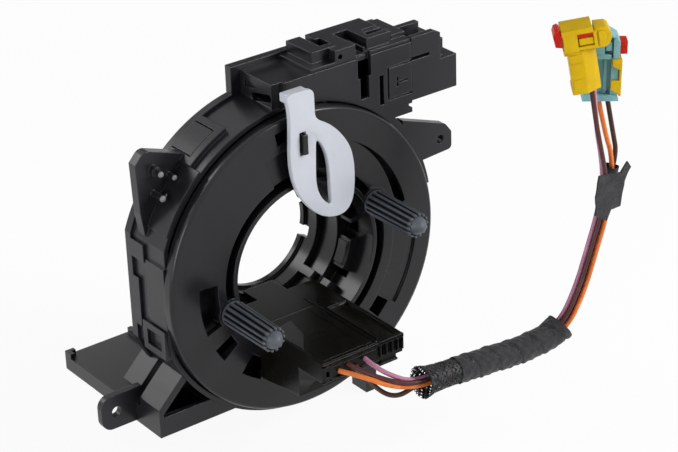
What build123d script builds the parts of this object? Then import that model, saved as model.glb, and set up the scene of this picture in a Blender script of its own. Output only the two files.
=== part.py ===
from build123d import *
import math
import os

# Steering clock spring. The column axis is Y, +Z is up and +X is to the right of
# somebody who faces the steering wheel side. The origin is on the column axis, in
# the front face of the rotor disc, so the wheel lies towards -Y and the column
# switch towards +Y. All lengths are millimetres and all angles degrees.

os.makedirs("parts", exist_ok=True)

# ------------------------------------------------------------ driving dimensions
# Gaps
turning_gap = 0.3
seat_gap = 0.1

# Rotor disc
disc_radius = 52.0
disc_plate = 2.0
disc_rim_depth = 4.0
disc_rim_wall = 1.6
disc_edge = 1.2
channel_width = 3.0
step_radius = 41.5
step_depth = 0.9
pocket_wall = 1.2
window_inner_radius = 34.5

# Hub of the rotor
hub_bore_radius = 27.0
hub_wall = 1.5
hub_flange_front = 6.5
hub_flange_plate = 1.5
flange_clearance = 3.9
throat_bore_radius = 22.5
throat_wall = 1.5
throat_front = 13.5

# Clip ring behind the rear cover
clip_wall = 1.0
clip_lip = 1.0
clip_lip_length = 2.0
clip_front = 22.0
clip_rear = 30.0
clip_flange_radius = 27.0
clip_flange_plate = 1.7

# Housing shell
shell_radius = 54.0
shell_wall = 1.6
shell_rear = 22.0
flat_depth = 3.3
cover_plate = 3.0
cover_overhang = 1.0

# Connector block on top of the shell
block_left = -7.0
block_right = 47.8
block_top = 61.5
block_bottom = 37.0
block_wall = 1.6

# Drive pegs
peg_circle_radius = 30.6
peg_angles = {"right": 23.0, "left": 196.5}
peg_radius = 4.4
peg_front = -24.0
peg_ribs = 14
post_radius = 2.6

# Connector shelf
shelf_top = -16.2
shelf_left = -19.7
shelf_right = 12.0
shelf_front = -33.5
shelf_step = -21.0
shelf_slab_bottom = -23.0
shelf_bottom = -36.0
shelf_wall = 1.4
lid_plate = 1.2

# Transport lock
lock_front = -4.0
lock_plate = 2.0

# Harness
wire_radius = 0.8
sleeve_radius = 4.0
sleeve_bore = 2.6
sleeve_mouth_radius = 5.2

# ------------------------------------------------------------ derived dimensions
shell_front = disc_rim_depth + turning_gap
shell_bore = shell_radius - shell_wall
flat_side = shell_radius - flat_depth
hub_flange_radius = shell_bore - flange_clearance
hub_radius = hub_bore_radius + hub_wall
disc_inner_radius = hub_radius + channel_width
hub_flange_rear = hub_flange_front + hub_flange_plate
throat_radius = throat_bore_radius + throat_wall
cover_rear = shell_rear + cover_plate
cover_radius = shell_radius + cover_overhang
clip_radius = throat_bore_radius - seat_gap
clip_bore_radius = clip_radius - clip_wall - 1.1
clip_lip_radius = clip_bore_radius - clip_lip
clip_flange_front = cover_rear + turning_gap


def front(depth):
    """Plane square to the column axis at a depth behind the disc face, facing the wheel."""
    return Plane.XZ.offset(-depth)


def polar(radius, angle):
    """Point on a front plane at a radius and an angle from +X."""
    return (radius * math.cos(math.radians(angle)), radius * math.sin(math.radians(angle)))


def sector(inner, outer, start, end):
    """Part of a ring between two radii and two angles, in the open sketch."""
    with BuildLine() as outline:
        CenterArc((0, 0), outer, start, end - start)
        CenterArc((0, 0), inner, start, end - start)
        Line(polar(inner, start), polar(outer, start))
        Line(polar(inner, end), polar(outer, end))
    make_face(outline.edges())


def turned(*profile):
    """Ring section of (radius, depth) points, turned about the column axis."""
    with BuildSketch(Plane.XY) as section:
        with BuildLine():
            Polyline(*profile, close=True)
        make_face()
    revolve(section.sketch, axis=Axis.Y)


def slab(left, right, bottom, top, mode=Mode.ADD):
    """Rectangle between four limits, in the open sketch."""
    with Locations(((left + right) / 2, (bottom + top) / 2)):
        Rectangle(right - left, top - bottom, mode=mode)


def shell_outline(extra=0.0):
    """Round outline of the shell with its flat left side, grown by an extra width."""
    Circle(shell_radius + extra)
    with Locations((-flat_side - extra - shell_radius, 0)):
        Rectangle(2 * shell_radius, 4 * shell_radius, mode=Mode.SUBTRACT)


def save(part, name):
    part.label = name
    export_step(part, f"parts/{name}.step")


# ------------------------------------------------------------ stator
# Right mounting ear, foot lug and pin plate are outlines on the shell
ear_width = 10.1
ear_right = shell_radius + ear_width
ear_outline = [
    (ear_right - 20.5, 35.0),
    (ear_right - 2.5, 28.6),
    (ear_right, 25.3),
    (ear_right, 19.1),
    (ear_right - 12.5, 18.3),
    (ear_right - 19.1, 22.0),
]
ear_plate = 3.2
key_left = 26.9
key_right = 30.4
key_shoulder = 0.9
key_step = 54.6
key_bottom = 47.2
slit_left = 34.6
slit_width = 1.7
slit_bottom = 43.0
lock_pocket = 4.0
lock_pocket_depth = 1.2
lock_pocket_bottom = 53.0
panel_left = 38.5
panel_bottom = 44.4
panel_top = 54.8
panel_groove = 0.7
panel_depth = 0.8
oval_at = (11.0, 55.6)
oval_length = 11.0
oval_height = 2.6
oval_slope = 12.0
side_recess = [(20.0, 59.9), (14.0, 58.2), (14.0, 57.6), (20.0, 57.0)]
ear_corner = 1.5
ear_hole_at = (ear_right - 4.9, 23.7)
ear_hole_radius = 1.5
foot_left = 25.6
foot_right = 30.0
foot_bottom = -shell_radius - 7.0
foot_depth = 8.0
pin_plate_front = 14.5
pin_plate_rear = 18.2
pin_plate_left = -flat_side - 1.7
pin_plate_corner = 3.0
pin_plate_outline = [
    (-flat_side, 20.0),
    (pin_plate_left + 0.6, 28.0),
    (pin_plate_left, 44.6),
    (pin_plate_left + 3.6, 48.6),
    (pin_plate_left + 18.0, 43.6),
    (pin_plate_left + 24.0, 34.0),
]
pin_studs = [
    ((pin_plate_left + 6.4, 41.4), 1.7, 2.0),
    ((pin_plate_left + 6.4, 41.4), 1.0, 4.2),
    ((pin_plate_left + 6.0, 33.6), 1.1, 5.0),
    ((pin_plate_left + 9.2, 32.4), 1.1, 2.5),
    ((pin_plate_left + 12.0, 38.2), 0.9, 3.0),
]
pad_height = 0.7
pad_bottom = -9.5
pad_top = 12.4
pad_rear = 14.4
round_pad_end = 155.0
latch_height = 1.5
latch_front = 5.0
latch_rear = 17.5
latch_bottom = -20.0
latch_top = -9.9
latch_frame = 2.3
rim_flange = 1.0
rim_flange_depth = 1.6
strap_start = 117.0
strap_end = 128.0
strap_front = 11.6
strap_plate = 1.3
frame_margin = 3.0
frame_height = 1.5

with BuildPart() as housing_shell:
    with BuildSketch(front(shell_rear)):
        shell_outline()
        with BuildSketch(front(shell_rear), mode=Mode.SUBTRACT):
            shell_outline(-shell_wall)
    extrude(amount=shell_rear - shell_front)
    # rim that stands round the upper right edge
    with BuildSketch(front(shell_front + rim_flange_depth)):
        sector(shell_radius - 0.5, shell_radius + rim_flange, 10, 80)
    extrude(amount=rim_flange_depth)
    # connector block, open at the back
    with BuildSketch(front(shell_rear)):
        slab(block_left, block_right, block_bottom, block_top)
        Circle(shell_bore + 0.2, mode=Mode.SUBTRACT)
    extrude(amount=shell_rear - shell_front)
    with BuildSketch(front(shell_rear)):
        slab(block_left + block_wall, block_right - block_wall, block_bottom + block_wall, block_top - block_wall)
        Circle(shell_radius, mode=Mode.SUBTRACT)
    extrude(amount=shell_rear - shell_front - block_wall, mode=Mode.SUBTRACT)
    # keyhole and slot through the block's front wall
    with BuildSketch(front(shell_front + block_wall)):
        slab(key_left - key_shoulder, key_right + key_shoulder, key_step, block_top)
        slab(key_left, key_right, key_bottom, key_step)
        slab(slit_left, slit_left + slit_width, slit_bottom, key_step - 1.3)
    extrude(amount=block_wall, mode=Mode.SUBTRACT)
    # pocket behind the transport lock
    with BuildSketch(front(shell_front + lock_pocket_depth)):
        slab(block_left, block_left + lock_pocket, lock_pocket_bottom, block_top)
    extrude(amount=lock_pocket_depth, mode=Mode.SUBTRACT)
    # groove round the panel at the right end of the front, and the T slot in it
    with BuildSketch(front(shell_front)):
        slab(panel_left - panel_groove, block_right, panel_bottom - panel_groove, panel_top + panel_groove)
        slab(panel_left, block_right, panel_bottom, panel_top, mode=Mode.SUBTRACT)
        slab(panel_left + 3.0, panel_left + 3.8, panel_bottom + 3.2, panel_top - 3.8)
        slab(panel_left + 3.8, panel_left + 7.6, panel_bottom + 4.4, panel_bottom + 5.1)
    extrude(amount=-panel_depth, mode=Mode.SUBTRACT)
    # notch in the foot of the right end
    with BuildSketch(front(shell_rear)):
        slab(block_right - 1.4, block_right, block_bottom + 1.6, block_bottom + 3.2)
    extrude(amount=shell_rear - shell_front, mode=Mode.SUBTRACT)
    # oval opening and the recess above it in the left side
    with BuildSketch(Plane.YZ.offset(block_left)):
        with Locations(oval_at):
            SlotOverall(oval_length, oval_height, rotation=-oval_slope)
    extrude(amount=block_wall, mode=Mode.SUBTRACT)
    with BuildSketch(Plane.YZ.offset(block_left)):
        with BuildLine():
            Polyline(*side_recess, close=True)
        make_face()
    extrude(amount=block_wall / 2, mode=Mode.SUBTRACT)
    # right ear
    with BuildSketch(front(shell_front + ear_plate)):
        with BuildLine():
            Polyline(*ear_outline, close=True)
        make_face()
        fillet(vertices().sort_by(Axis.X)[-3:], ear_corner)
        with Locations(ear_hole_at):
            Circle(ear_hole_radius, mode=Mode.SUBTRACT)
        Circle(shell_bore + 0.5, mode=Mode.SUBTRACT)
    extrude(amount=ear_plate)
    # foot lug
    with BuildSketch(front(shell_front + foot_depth)):
        slab(foot_left, foot_right, foot_bottom, -shell_bore * 0.8)
        Circle(shell_bore + 0.5, mode=Mode.SUBTRACT)
    extrude(amount=foot_depth)
    # pin plate
    with BuildSketch(front(pin_plate_rear)):
        with BuildLine():
            Polyline(*pin_plate_outline, close=True)
        make_face()
        fillet(vertices().sort_by(Axis.Y)[-1], pin_plate_corner)
        Circle(shell_bore + 0.5, mode=Mode.SUBTRACT)
    extrude(amount=pin_plate_rear - pin_plate_front)
    for stud_at, stud_radius, stud_length in pin_studs:
        with BuildSketch(front(pin_plate_front)):
            with Locations(stud_at):
                Circle(stud_radius)
        extrude(amount=stud_length)
    # raised pads: one on the flat side, one on the round above it
    with BuildSketch(front(pad_rear)):
        slab(-flat_side - pad_height, -flat_side + seat_gap, pad_bottom, pad_top)
        sector(shell_radius - seat_gap, shell_radius + pad_height, strap_end + frame_margin, round_pad_end)
    extrude(amount=pad_rear - shell_front)
    # latch below the flat side: a raised block with a pocket
    with BuildSketch(Plane.YZ.offset(-flat_side + shell_wall)):
        slab(latch_front, latch_rear, latch_bottom, latch_top)
    extrude(amount=-shell_wall - latch_height)
    with BuildSketch(Plane.YZ.offset(-flat_side - latch_height)):
        slab(latch_front + latch_frame, latch_rear - latch_frame, latch_bottom + latch_frame, latch_top - latch_frame)
    extrude(amount=latch_height, mode=Mode.SUBTRACT)
    # frame round the cover's strap
    with BuildSketch(front(shell_rear)):
        sector(shell_radius - 0.5, shell_radius + frame_height, strap_start - frame_margin, strap_end + frame_margin)
    extrude(amount=shell_rear - strap_front + frame_margin)
    with BuildSketch(front(shell_rear)):
        sector(shell_radius, shell_radius + 2 * frame_height, strap_start - 0.4, strap_end + 0.4)
    extrude(amount=shell_rear - strap_front + turning_gap, mode=Mode.SUBTRACT)
save(housing_shell.part, "housing_shell")

side_lips = [(-13.5, 4.0, 19.0), (11.0, 17.0, 15.0)]
with BuildPart() as rear_cover:
    with BuildSketch(front(cover_rear)):
        shell_outline(cover_overhang)
        slab(block_left - 3.7, block_right, 0, block_top + 1.8)
        Circle(throat_radius + turning_gap, mode=Mode.SUBTRACT)
    extrude(amount=cover_plate)
    with BuildSketch(front(shell_rear)):
        sector(shell_radius + seat_gap, shell_radius + seat_gap + strap_plate, strap_start, strap_end)
    extrude(amount=shell_rear - strap_front)
    # lips that reach forward along the flat side
    for lip_bottom_end, lip_top_end, lip_front in side_lips:
        with BuildSketch(front(shell_rear)):
            slab(-flat_side - cover_overhang, -flat_side - seat_gap, lip_bottom_end, lip_top_end)
        extrude(amount=shell_rear - lip_front)
save(rear_cover.part, "rear_cover")


# Ribbed cover that snaps onto the block and holds the side connector's wires. Its
# ribs form a maze of bars that stand on a thin plate.
maze_height = 5.0
base_plate = 1.2
base_left = 8.0
base_front = shell_front + 0.4
maze_back = shell_rear
maze_bars = [
    (11.0, 16.4, 8.4, maze_back),
    (11.0, 23.4, 8.4, 11.2),
    (18.6, 40.4, 16.8, maze_back),
    (20.6, 25.6, base_front, 17.0),
    (17.6, 23.4, base_front, 8.0),
    (31.4, 40.6, 11.0, 17.0),
    (31.4, 33.6, 6.4, 13.0),
    (31.4, 41.0, 6.4, 8.8),
]
maze_slit = (34.8, 40.6, 12.2, 13.4)
box_hole_at = (19.6, 63.9)
box_hole_radius = 0.9
groove_left = 26.9
groove_right = 29.6
groove_wall = 0.7
step_left = 38.6
step_height = 2.8

with BuildPart() as block_cover:
    with BuildSketch(Plane.XY.offset(block_top)):
        slab(base_left, block_right, base_front, maze_back)
    extrude(amount=base_plate)
    with BuildSketch(Plane.XY.offset(block_top)):
        for bar in maze_bars:
            slab(*bar)
        slab(*maze_slit, mode=Mode.SUBTRACT)
    extrude(amount=maze_height)
    # long guides of the groove, and the step towards the side connector
    with BuildSketch(Plane.XY.offset(block_top)):
        slab(groove_left - groove_wall, groove_left, base_front + 1.0, 17.0)
        slab(groove_right, groove_right + groove_wall, base_front + 1.0, 17.0)
    extrude(amount=base_plate + 1.3)
    with BuildSketch(Plane.XY.offset(block_top)):
        slab(step_left + 3.4, block_right, base_front + 3.0, maze_back)
    extrude(amount=step_height)
    with BuildSketch(Plane.XY.offset(block_top + base_plate)):
        slab(groove_left, groove_right, base_front + 1.0, 16.6)
    extrude(amount=-base_plate / 2, mode=Mode.SUBTRACT)
    with BuildSketch(front(base_front)):
        with Locations(box_hole_at):
            Circle(box_hole_radius)
    extrude(amount=-2.4, mode=Mode.SUBTRACT)
    # the keyhole of the block runs up through the plate's front edge
    with BuildSketch(Plane.XY.offset(block_top)):
        slab(key_left - key_shoulder, key_right + key_shoulder, base_front, shell_front + block_wall)
    extrude(amount=maze_height, mode=Mode.SUBTRACT)
save(block_cover.part, "block_cover")

# Side connector with its mouth to the right
side_left = block_right + seat_gap
side_right = 66.5
side_bottom = 41.0
side_top = 52.5
side_wall = 1.5
side_rear = shell_rear - 1.0
mast_right = 62.6
mast_top = 62.9
mast_plate = 2.2
mast_slit_right = 55.2
mast_slit_bottom = 54.9
mast_outline = [
    (side_left, side_top - 1.0),
    (side_left, mast_top),
    (side_left + 9.6, mast_top),
    (side_left + 11.9, mast_top - 1.2),
    (side_left + 11.9, side_top - 1.0),
]
pin_half = 0.4
pin_rows = 2
pin_columns = 5
pin_pitch = 2.54
pin_reach = 9.0

with BuildPart() as side_connector:
    with BuildSketch(front(side_rear)):
        slab(side_left, side_right, side_bottom, side_top)
    extrude(amount=side_rear - shell_front)
    with BuildSketch(front(shell_front + mast_plate)):
        with BuildLine():
            Polyline(*mast_outline, close=True)
        make_face()
        slab(side_left, mast_slit_right, mast_slit_bottom, mast_slit_bottom + 1.2, mode=Mode.SUBTRACT)
    extrude(amount=mast_plate)
    for rail_front, rail_right, rail_top in ((8.0, mast_right - 3.0, 58.0), (14.0, mast_right - 4.0, mast_top)):
        with BuildSketch(front(rail_front + mast_plate)):
            slab(side_left, rail_right, side_top - 1.0, rail_top)
        extrude(amount=mast_plate)
    with BuildSketch(front(side_rear)):
        slab(mast_right - 1.6, mast_right, side_top - 1.0, mast_top - 4.5)
    extrude(amount=side_rear - shell_front - mast_plate)
    with BuildSketch(Plane.YZ.offset(side_right)):
        slab(shell_front + side_wall, side_rear - side_wall, side_bottom + side_wall, side_top - side_wall)
    extrude(amount=-(side_right - side_left - 4.0), mode=Mode.SUBTRACT)
save(side_connector.part, "side_connector")

socket_floor = side_left + 4.0
with BuildPart() as stator_terminals:
    socket_middle = ((shell_front + side_rear) / 2, (side_bottom + side_top) / 2)
    with BuildSketch(Plane.YZ.offset(socket_floor)):
        with Locations(socket_middle):
            with GridLocations(pin_pitch, pin_pitch, pin_columns, pin_rows):
                Rectangle(2 * pin_half, 2 * pin_half)
    extrude(amount=pin_reach)
save(stator_terminals.part, "stator_terminals")

# Lower bracket: a tray at the left foot, its shelf to the rear, a web and an ear.
# It stands where the shell passes the diagonal, this far to the left and down.
shell_corner = shell_radius * math.cos(math.radians(45))
tray_left = -shell_corner - 18.3
tray_right = -shell_corner + 14.2
tray_top = -shell_corner - 1.3
tray_bottom = -shell_corner - 8.3
tray_front = 4.6
tray_rear = 18.5
tray_wall = 1.6
plate_top = -shell_corner + 3.2
plate_left = -shell_corner - 23.8
plate_right = -shell_corner + 2.2
plate_front = 20.0
plate_rear = 52.7
plate_thick = 1.6
plate_skirt = 5.0
hook_side = 3.6
hook_height = 1.7
web_plate = 1.8
web_reach = 7.3
web_drop = 1.5
web_top = -shell_corner + 12.7
web_slot_front = 16.0
web_rear = 28.0
bracket_ear_left = -shell_corner - 31.3
bracket_ear_bottom = -shell_corner - 7.8
bracket_ear_top = -shell_corner + 4.2
bracket_ear_plate = 2.5
bracket_ear_hole_at = (-shell_corner - 25.7, -shell_corner - 1.8)
bracket_ear_hole_radius = 1.75

web_outline = [
    (tray_left, plate_top - web_drop),
    (-shell_corner - web_reach, web_top),
    (-shell_corner - web_reach + 2 * web_plate, web_top),
    (tray_left + tray_wall, plate_top - web_drop - web_plate),
    (tray_left + tray_wall, tray_bottom),
    (tray_left, tray_bottom),
]

with BuildPart() as bracket_tray:
    # tray, open at the top
    with BuildSketch(front(tray_rear)):
        slab(tray_left, tray_right, tray_bottom, tray_top)
        Circle(shell_radius, mode=Mode.SUBTRACT)
    extrude(amount=tray_rear - tray_front)
    with BuildSketch(front(tray_rear - tray_wall)):
        slab(tray_left + tray_wall, tray_right - 4, tray_bottom + tray_wall, tray_top)
        Circle(shell_radius + tray_wall, mode=Mode.SUBTRACT)
    extrude(amount=tray_rear - tray_front - 2 * tray_wall, mode=Mode.SUBTRACT)
    # front half of the web, on a slope of 45 degrees up to the shell
    with BuildSketch(front(web_slot_front)):
        with BuildLine():
            Polyline(*web_outline, close=True)
        make_face()
        Circle(shell_radius, mode=Mode.SUBTRACT)
    extrude(amount=web_slot_front - tray_front)
save(bracket_tray.part, "bracket_tray")

with BuildPart() as lower_bracket:
    # rear half of the web
    with BuildSketch(front(web_rear)):
        with BuildLine():
            Polyline(*web_outline, close=True)
        make_face()
        Circle(shell_radius, mode=Mode.SUBTRACT)
    extrude(amount=web_rear - tray_rear)
    # ear
    with BuildSketch(front(tray_rear + bracket_ear_plate)):
        slab(bracket_ear_left, tray_left + 8.0, bracket_ear_bottom, bracket_ear_top)
        fillet(vertices().group_by(Axis.X)[0], 4.0)
        with Locations(bracket_ear_hole_at):
            Circle(bracket_ear_hole_radius, mode=Mode.SUBTRACT)
        Circle(shell_radius, mode=Mode.SUBTRACT)
    extrude(amount=bracket_ear_plate)
    # shelf plate that runs to the rear, with a skirt on its left edge
    with BuildSketch(Plane.XY.offset(plate_top)):
        slab(plate_left, plate_right, plate_front, plate_rear)
    extrude(amount=-plate_thick)
    with BuildSketch(Plane.XY.offset(plate_top)):
        slab(plate_left, plate_left + plate_thick, plate_front, plate_rear)
    extrude(amount=-plate_skirt)
    # hooks that stand up at two of its corners
    with BuildSketch(Plane.XY.offset(plate_top)):
        slab(plate_left, plate_left + plate_thick, plate_rear - hook_side, plate_rear)
        slab(plate_left, plate_left + 2 * plate_thick, plate_rear - plate_thick, plate_rear)
        slab(plate_right - plate_thick, plate_right, plate_rear - 2 * hook_side, plate_rear)
    extrude(amount=hook_height)
    # room for the shell and the rear cover
    with BuildSketch(front(cover_rear)):
        Circle(cover_radius)
    extrude(amount=cover_plate, mode=Mode.SUBTRACT)
    with BuildSketch(front(shell_rear)):
        Circle(shell_radius)
    extrude(amount=shell_rear - shell_front, mode=Mode.SUBTRACT)
save(lower_bracket.part, "lower_bracket")

# Flat ribbon cable in turns round the hub, and the slip rings it runs between
ribbon_turns = 6
ribbon_inner = 30.5
ribbon_pitch = 2.7
ribbon_thick = 0.6
slip_plate = 0.3
ribbon_front = hub_flange_rear + slip_plate + turning_gap
ribbon_rear = shell_rear - slip_plate - seat_gap

with BuildPart() as ribbon_cable:
    with BuildSketch(front(ribbon_rear)):
        with BuildLine():
            for half in range(2 * ribbon_turns):
                # half circles with centres that swap sides grow by half a pitch each
                reach = ribbon_inner + half * ribbon_pitch / 2
                centre = ribbon_pitch / 4 if half % 2 else -ribbon_pitch / 4
                start = 180 if half % 2 else 0
                CenterArc((centre, 0), reach, start, 180)
                CenterArc((centre, 0), reach + ribbon_thick, start, 180)
            first = ribbon_inner - ribbon_pitch / 4
            last = ribbon_inner + (2 * ribbon_turns - 1) * ribbon_pitch / 2 + ribbon_pitch / 4
            Line((first, 0), (first + ribbon_thick, 0))
            Line((last, 0), (last + ribbon_thick, 0))
        make_face()
    extrude(amount=ribbon_rear - ribbon_front)
save(ribbon_cable.part, "ribbon_cable")

with BuildPart() as rear_slip_ring:
    with BuildSketch(front(shell_rear)):
        Circle(hub_flange_radius)
        Circle(hub_radius + 2 * turning_gap, mode=Mode.SUBTRACT)
    extrude(amount=slip_plate)
save(rear_slip_ring.part, "rear_slip_ring")

# ------------------------------------------------------------ rotor
window_plate = 3 * disc_plate
lug_left = -3.0
lug_right = -1.4
lug_bottom = 40.2
lug_top = 46.8
lug_gap = 0.2
lug_reach = 1.4
with BuildPart() as rotor_disc:
    turned(
        (disc_inner_radius, 0),
        (disc_radius, 0),
        (disc_radius, disc_rim_depth),
        (disc_radius - disc_rim_wall, disc_rim_depth),
        (disc_radius - disc_rim_wall, disc_plate),
        (step_radius + 2 * pocket_wall, disc_plate),
        (step_radius + 2 * pocket_wall, hub_flange_front),
        (step_radius + pocket_wall, hub_flange_front),
        (step_radius + pocket_wall, disc_plate),
        (disc_inner_radius + pocket_wall, disc_plate),
        (disc_inner_radius + pocket_wall, hub_flange_front),
        (disc_inner_radius, hub_flange_front),
    )
    fillet(edges().filter_by(GeomType.CIRCLE).group_by(Axis.Y)[0].sort_by(SortBy.RADIUS)[-1], disc_edge)
    # shallow steps of the face
    with BuildSketch(front(0)):
        sector(disc_inner_radius - 1, step_radius, 14, 63)
        sector(disc_inner_radius - 1, step_radius, 95, 111)
        sector(window_inner_radius + 1, step_radius + 3.5, -38, 0)
    extrude(amount=-step_depth, mode=Mode.SUBTRACT)
    # windows through the face
    with BuildSketch(front(0)):
        sector(36.0, step_radius, -47.5, -38.5)
        sector(window_inner_radius, step_radius, -152, -144)
        sector(window_inner_radius, step_radius, -131, -119)
        sector(window_inner_radius, step_radius, 175, 199)
        sector(step_radius + 2.6, step_radius + 7.0, 96, 102)
        with BuildLine():
            CenterArc((0, 0), step_radius, 12, 46)
            ThreePointArc(polar(step_radius, 58), polar(40.0, 40), polar(38.4, 22))
            Line(polar(38.4, 22), polar(38.6, 12))
            Line(polar(38.6, 12), polar(step_radius, 12))
        make_face()
    extrude(amount=-window_plate, mode=Mode.SUBTRACT)
    # bosses and posts of the drive pegs, which bridge the channel
    for angle in peg_angles.values():
        with BuildSketch(front(hub_flange_front)):
            with Locations(polar(peg_circle_radius, angle)):
                Circle(peg_radius + 0.8)
            Circle(hub_radius, mode=Mode.SUBTRACT)
        extrude(amount=hub_flange_front)
        with BuildSketch(front(0)):
            with Locations(polar(peg_circle_radius, angle)):
                Circle(post_radius)
            Circle(hub_radius, mode=Mode.SUBTRACT)
        extrude(amount=-peg_front - 4.0)
    # lug that the transport lock's window goes over
    with BuildSketch(front(0)):
        slab(lug_left, lug_right, lug_bottom, lug_top)
    extrude(amount=lug_reach - lock_front)
save(rotor_disc.part, "rotor_disc")

with BuildPart() as hub_sleeve:
    turned(
        (hub_bore_radius, 0),
        (hub_radius, 0),
        (hub_radius, hub_flange_front),
        (hub_flange_radius, hub_flange_front),
        (hub_flange_radius, hub_flange_rear),
        (hub_radius, hub_flange_rear),
        (hub_radius, throat_front + hub_wall),
        (throat_radius, throat_front + hub_wall),
        (throat_radius, cover_rear + turning_gap),
        (throat_bore_radius, cover_rear + turning_gap),
        (throat_bore_radius, throat_front),
        (hub_bore_radius, throat_front),
    )
    # windows in the front tube, towards the ribbon chamber
    with BuildSketch(front(throat_front)):
        sector(hub_bore_radius - 2, hub_radius + 1, -38, -8)
        sector(hub_bore_radius - 2, hub_radius + 1, -4, 18)
    extrude(amount=throat_front - hub_flange_rear, mode=Mode.SUBTRACT)
save(hub_sleeve.part, "hub_sleeve")

tongue_angle = -50.0
tongue_width = 3.0
tongue_front = 15.5
with BuildPart() as hub_clip_ring:
    turned(
        (clip_bore_radius, clip_front),
        (clip_radius, clip_front),
        (clip_radius, clip_flange_front),
        (clip_flange_radius, clip_flange_front),
        (clip_flange_radius, clip_flange_front + clip_flange_plate),
        (clip_radius, clip_flange_front + clip_flange_plate),
        (clip_radius, clip_rear),
        (clip_lip_radius, clip_rear),
        (clip_lip_radius, clip_rear - clip_lip_length),
        (clip_bore_radius, clip_rear - clip_lip_length),
    )
    with BuildSketch(front(clip_rear)):
        sector(clip_lip_radius - 1, clip_radius + 1, -23, -12)
        sector(clip_lip_radius - 1, clip_radius + 1, 11, 18)
        sector(clip_lip_radius + 1.3, clip_radius + 1, -64, -54)
    extrude(amount=clip_rear - clip_flange_front - clip_flange_plate + 1.0, mode=Mode.SUBTRACT)
    with BuildSketch(front(clip_front + 1)):
        half = math.degrees(tongue_width / 2 / clip_bore_radius)
        sector(clip_bore_radius, clip_radius - 0.6, tongue_angle - half, tongue_angle + half)
    extrude(amount=clip_front + 1 - tongue_front)
save(hub_clip_ring.part, "hub_clip_ring")

with BuildPart() as front_slip_ring:
    with BuildSketch(front(hub_flange_rear + slip_plate)):
        Circle(hub_flange_radius)
        Circle(hub_radius + seat_gap, mode=Mode.SUBTRACT)
    extrude(amount=slip_plate)
save(front_slip_ring.part, "front_slip_ring")

# Rubber sleeves of the drive pegs, with ribs along them
rib_height = 0.8
for side, angle in peg_angles.items():
    with BuildPart() as peg_sleeve:
        with BuildSketch(front(0)):
            with Locations(polar(peg_circle_radius, angle)):
                Circle(peg_radius - rib_height)
                with PolarLocations(peg_radius - rib_height, peg_ribs):
                    Circle(rib_height * 0.9)
                Circle(post_radius + seat_gap, mode=Mode.SUBTRACT)
        extrude(amount=-peg_front - 1.0)
        with BuildSketch(front(peg_front + 1.5)):
            with Locations(polar(peg_circle_radius, angle)):
                Circle(peg_radius - rib_height)
        extrude(amount=1.5)
    save(peg_sleeve.part, f"peg_sleeve_{side}")

# Connector shelf: a socket block in front of the disc and a tongue through the hub
shelf_tongue_left = -10.7
shelf_tongue_right = 1.2
shelf_plate = 2.0
shelf_body_front = -16.0
shelf_chin = -30.0
socket_left = -16.4
socket_right = 1.6
socket_top = -18.4
socket_bottom = -22.2
socket_back = -12.0
plug_back = -24.0
lip_left = 3.3
lip_right = 9.4
lip_bottom = -25.0
slot_width = 1.2
slot_count = 4
recess_left = 2.9
recess_right = 11.0
recess_front = -32.5
recess_back = -5.7
recess_depth = 0.8
shelf_hole = (-18.4, -17.0, -21.2, -19.2)
lid_left = shelf_left + shelf_wall
lid_right = 1.2
lid_front = shelf_front + shelf_wall
lid_back = -1.0

with BuildPart() as connector_shelf:
    # side outline of the block in front of the disc, swept across its width
    with BuildSketch(Plane.YZ.offset(shelf_left)):
        with BuildLine():
            Polyline(
                (0, shelf_top),
                (shelf_front, shelf_top),
                (shelf_front, shelf_slab_bottom),
                (shelf_step, shelf_slab_bottom),
                (shelf_step, shelf_chin),
                (shelf_body_front, shelf_bottom),
                (0, shelf_bottom),
                close=True,
            )
        make_face()
    extrude(amount=shelf_right - shelf_left)
    # the lower part stops short of the right end
    with BuildSketch(front(0)):
        slab(-1.8, shelf_right, shelf_bottom, shelf_slab_bottom)
    extrude(amount=-shelf_front, mode=Mode.SUBTRACT)
    # tongue through the hub tube and on through the narrower throat
    with BuildSketch(front(throat_front)):
        slab(shelf_left, shelf_right, shelf_top - shelf_plate, shelf_top)
        Circle(hub_bore_radius - seat_gap, mode=Mode.INTERSECT)
    extrude(amount=throat_front)
    with BuildSketch(front(clip_front - seat_gap)):
        slab(shelf_tongue_left, shelf_tongue_right, shelf_top - shelf_plate, shelf_top)
    extrude(amount=clip_front - seat_gap)
    # socket for the harness plug
    with BuildSketch(front(socket_back)):
        slab(socket_left, socket_right, socket_bottom, socket_top)
    extrude(amount=socket_back - shelf_front, mode=Mode.SUBTRACT)
    # square hole beside the socket
    with BuildSketch(front(shelf_front)):
        slab(*shelf_hole)
    extrude(amount=-shelf_wall, mode=Mode.SUBTRACT)
    # seat of the lid and the recess beside it
    with BuildSketch(Plane.XY.offset(shelf_top)):
        slab(lid_left, lid_right, lid_front, lid_back)
    extrude(amount=-lid_plate, mode=Mode.SUBTRACT)
    with BuildSketch(Plane.XY.offset(shelf_top)):
        slab(recess_left, recess_right, recess_front, recess_back)
    extrude(amount=-recess_depth, mode=Mode.SUBTRACT)
    # slots in the front of the right end, and the lip under them
    with BuildSketch(front(shelf_front)):
        with Locations(((lip_left + shelf_right - 1) / 2, (shelf_top + shelf_slab_bottom) / 2)):
            with GridLocations((shelf_right - lip_left) / slot_count, 1, slot_count, 1):
                Rectangle(slot_width, shelf_top - shelf_slab_bottom - 2 * shelf_wall)
    extrude(amount=-2.5, mode=Mode.SUBTRACT)
    with BuildSketch(front(shelf_step)):
        slab(lip_left, lip_right, lip_bottom, shelf_slab_bottom)
    extrude(amount=shelf_step - shelf_front)
save(connector_shelf.part, "connector_shelf")

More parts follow.
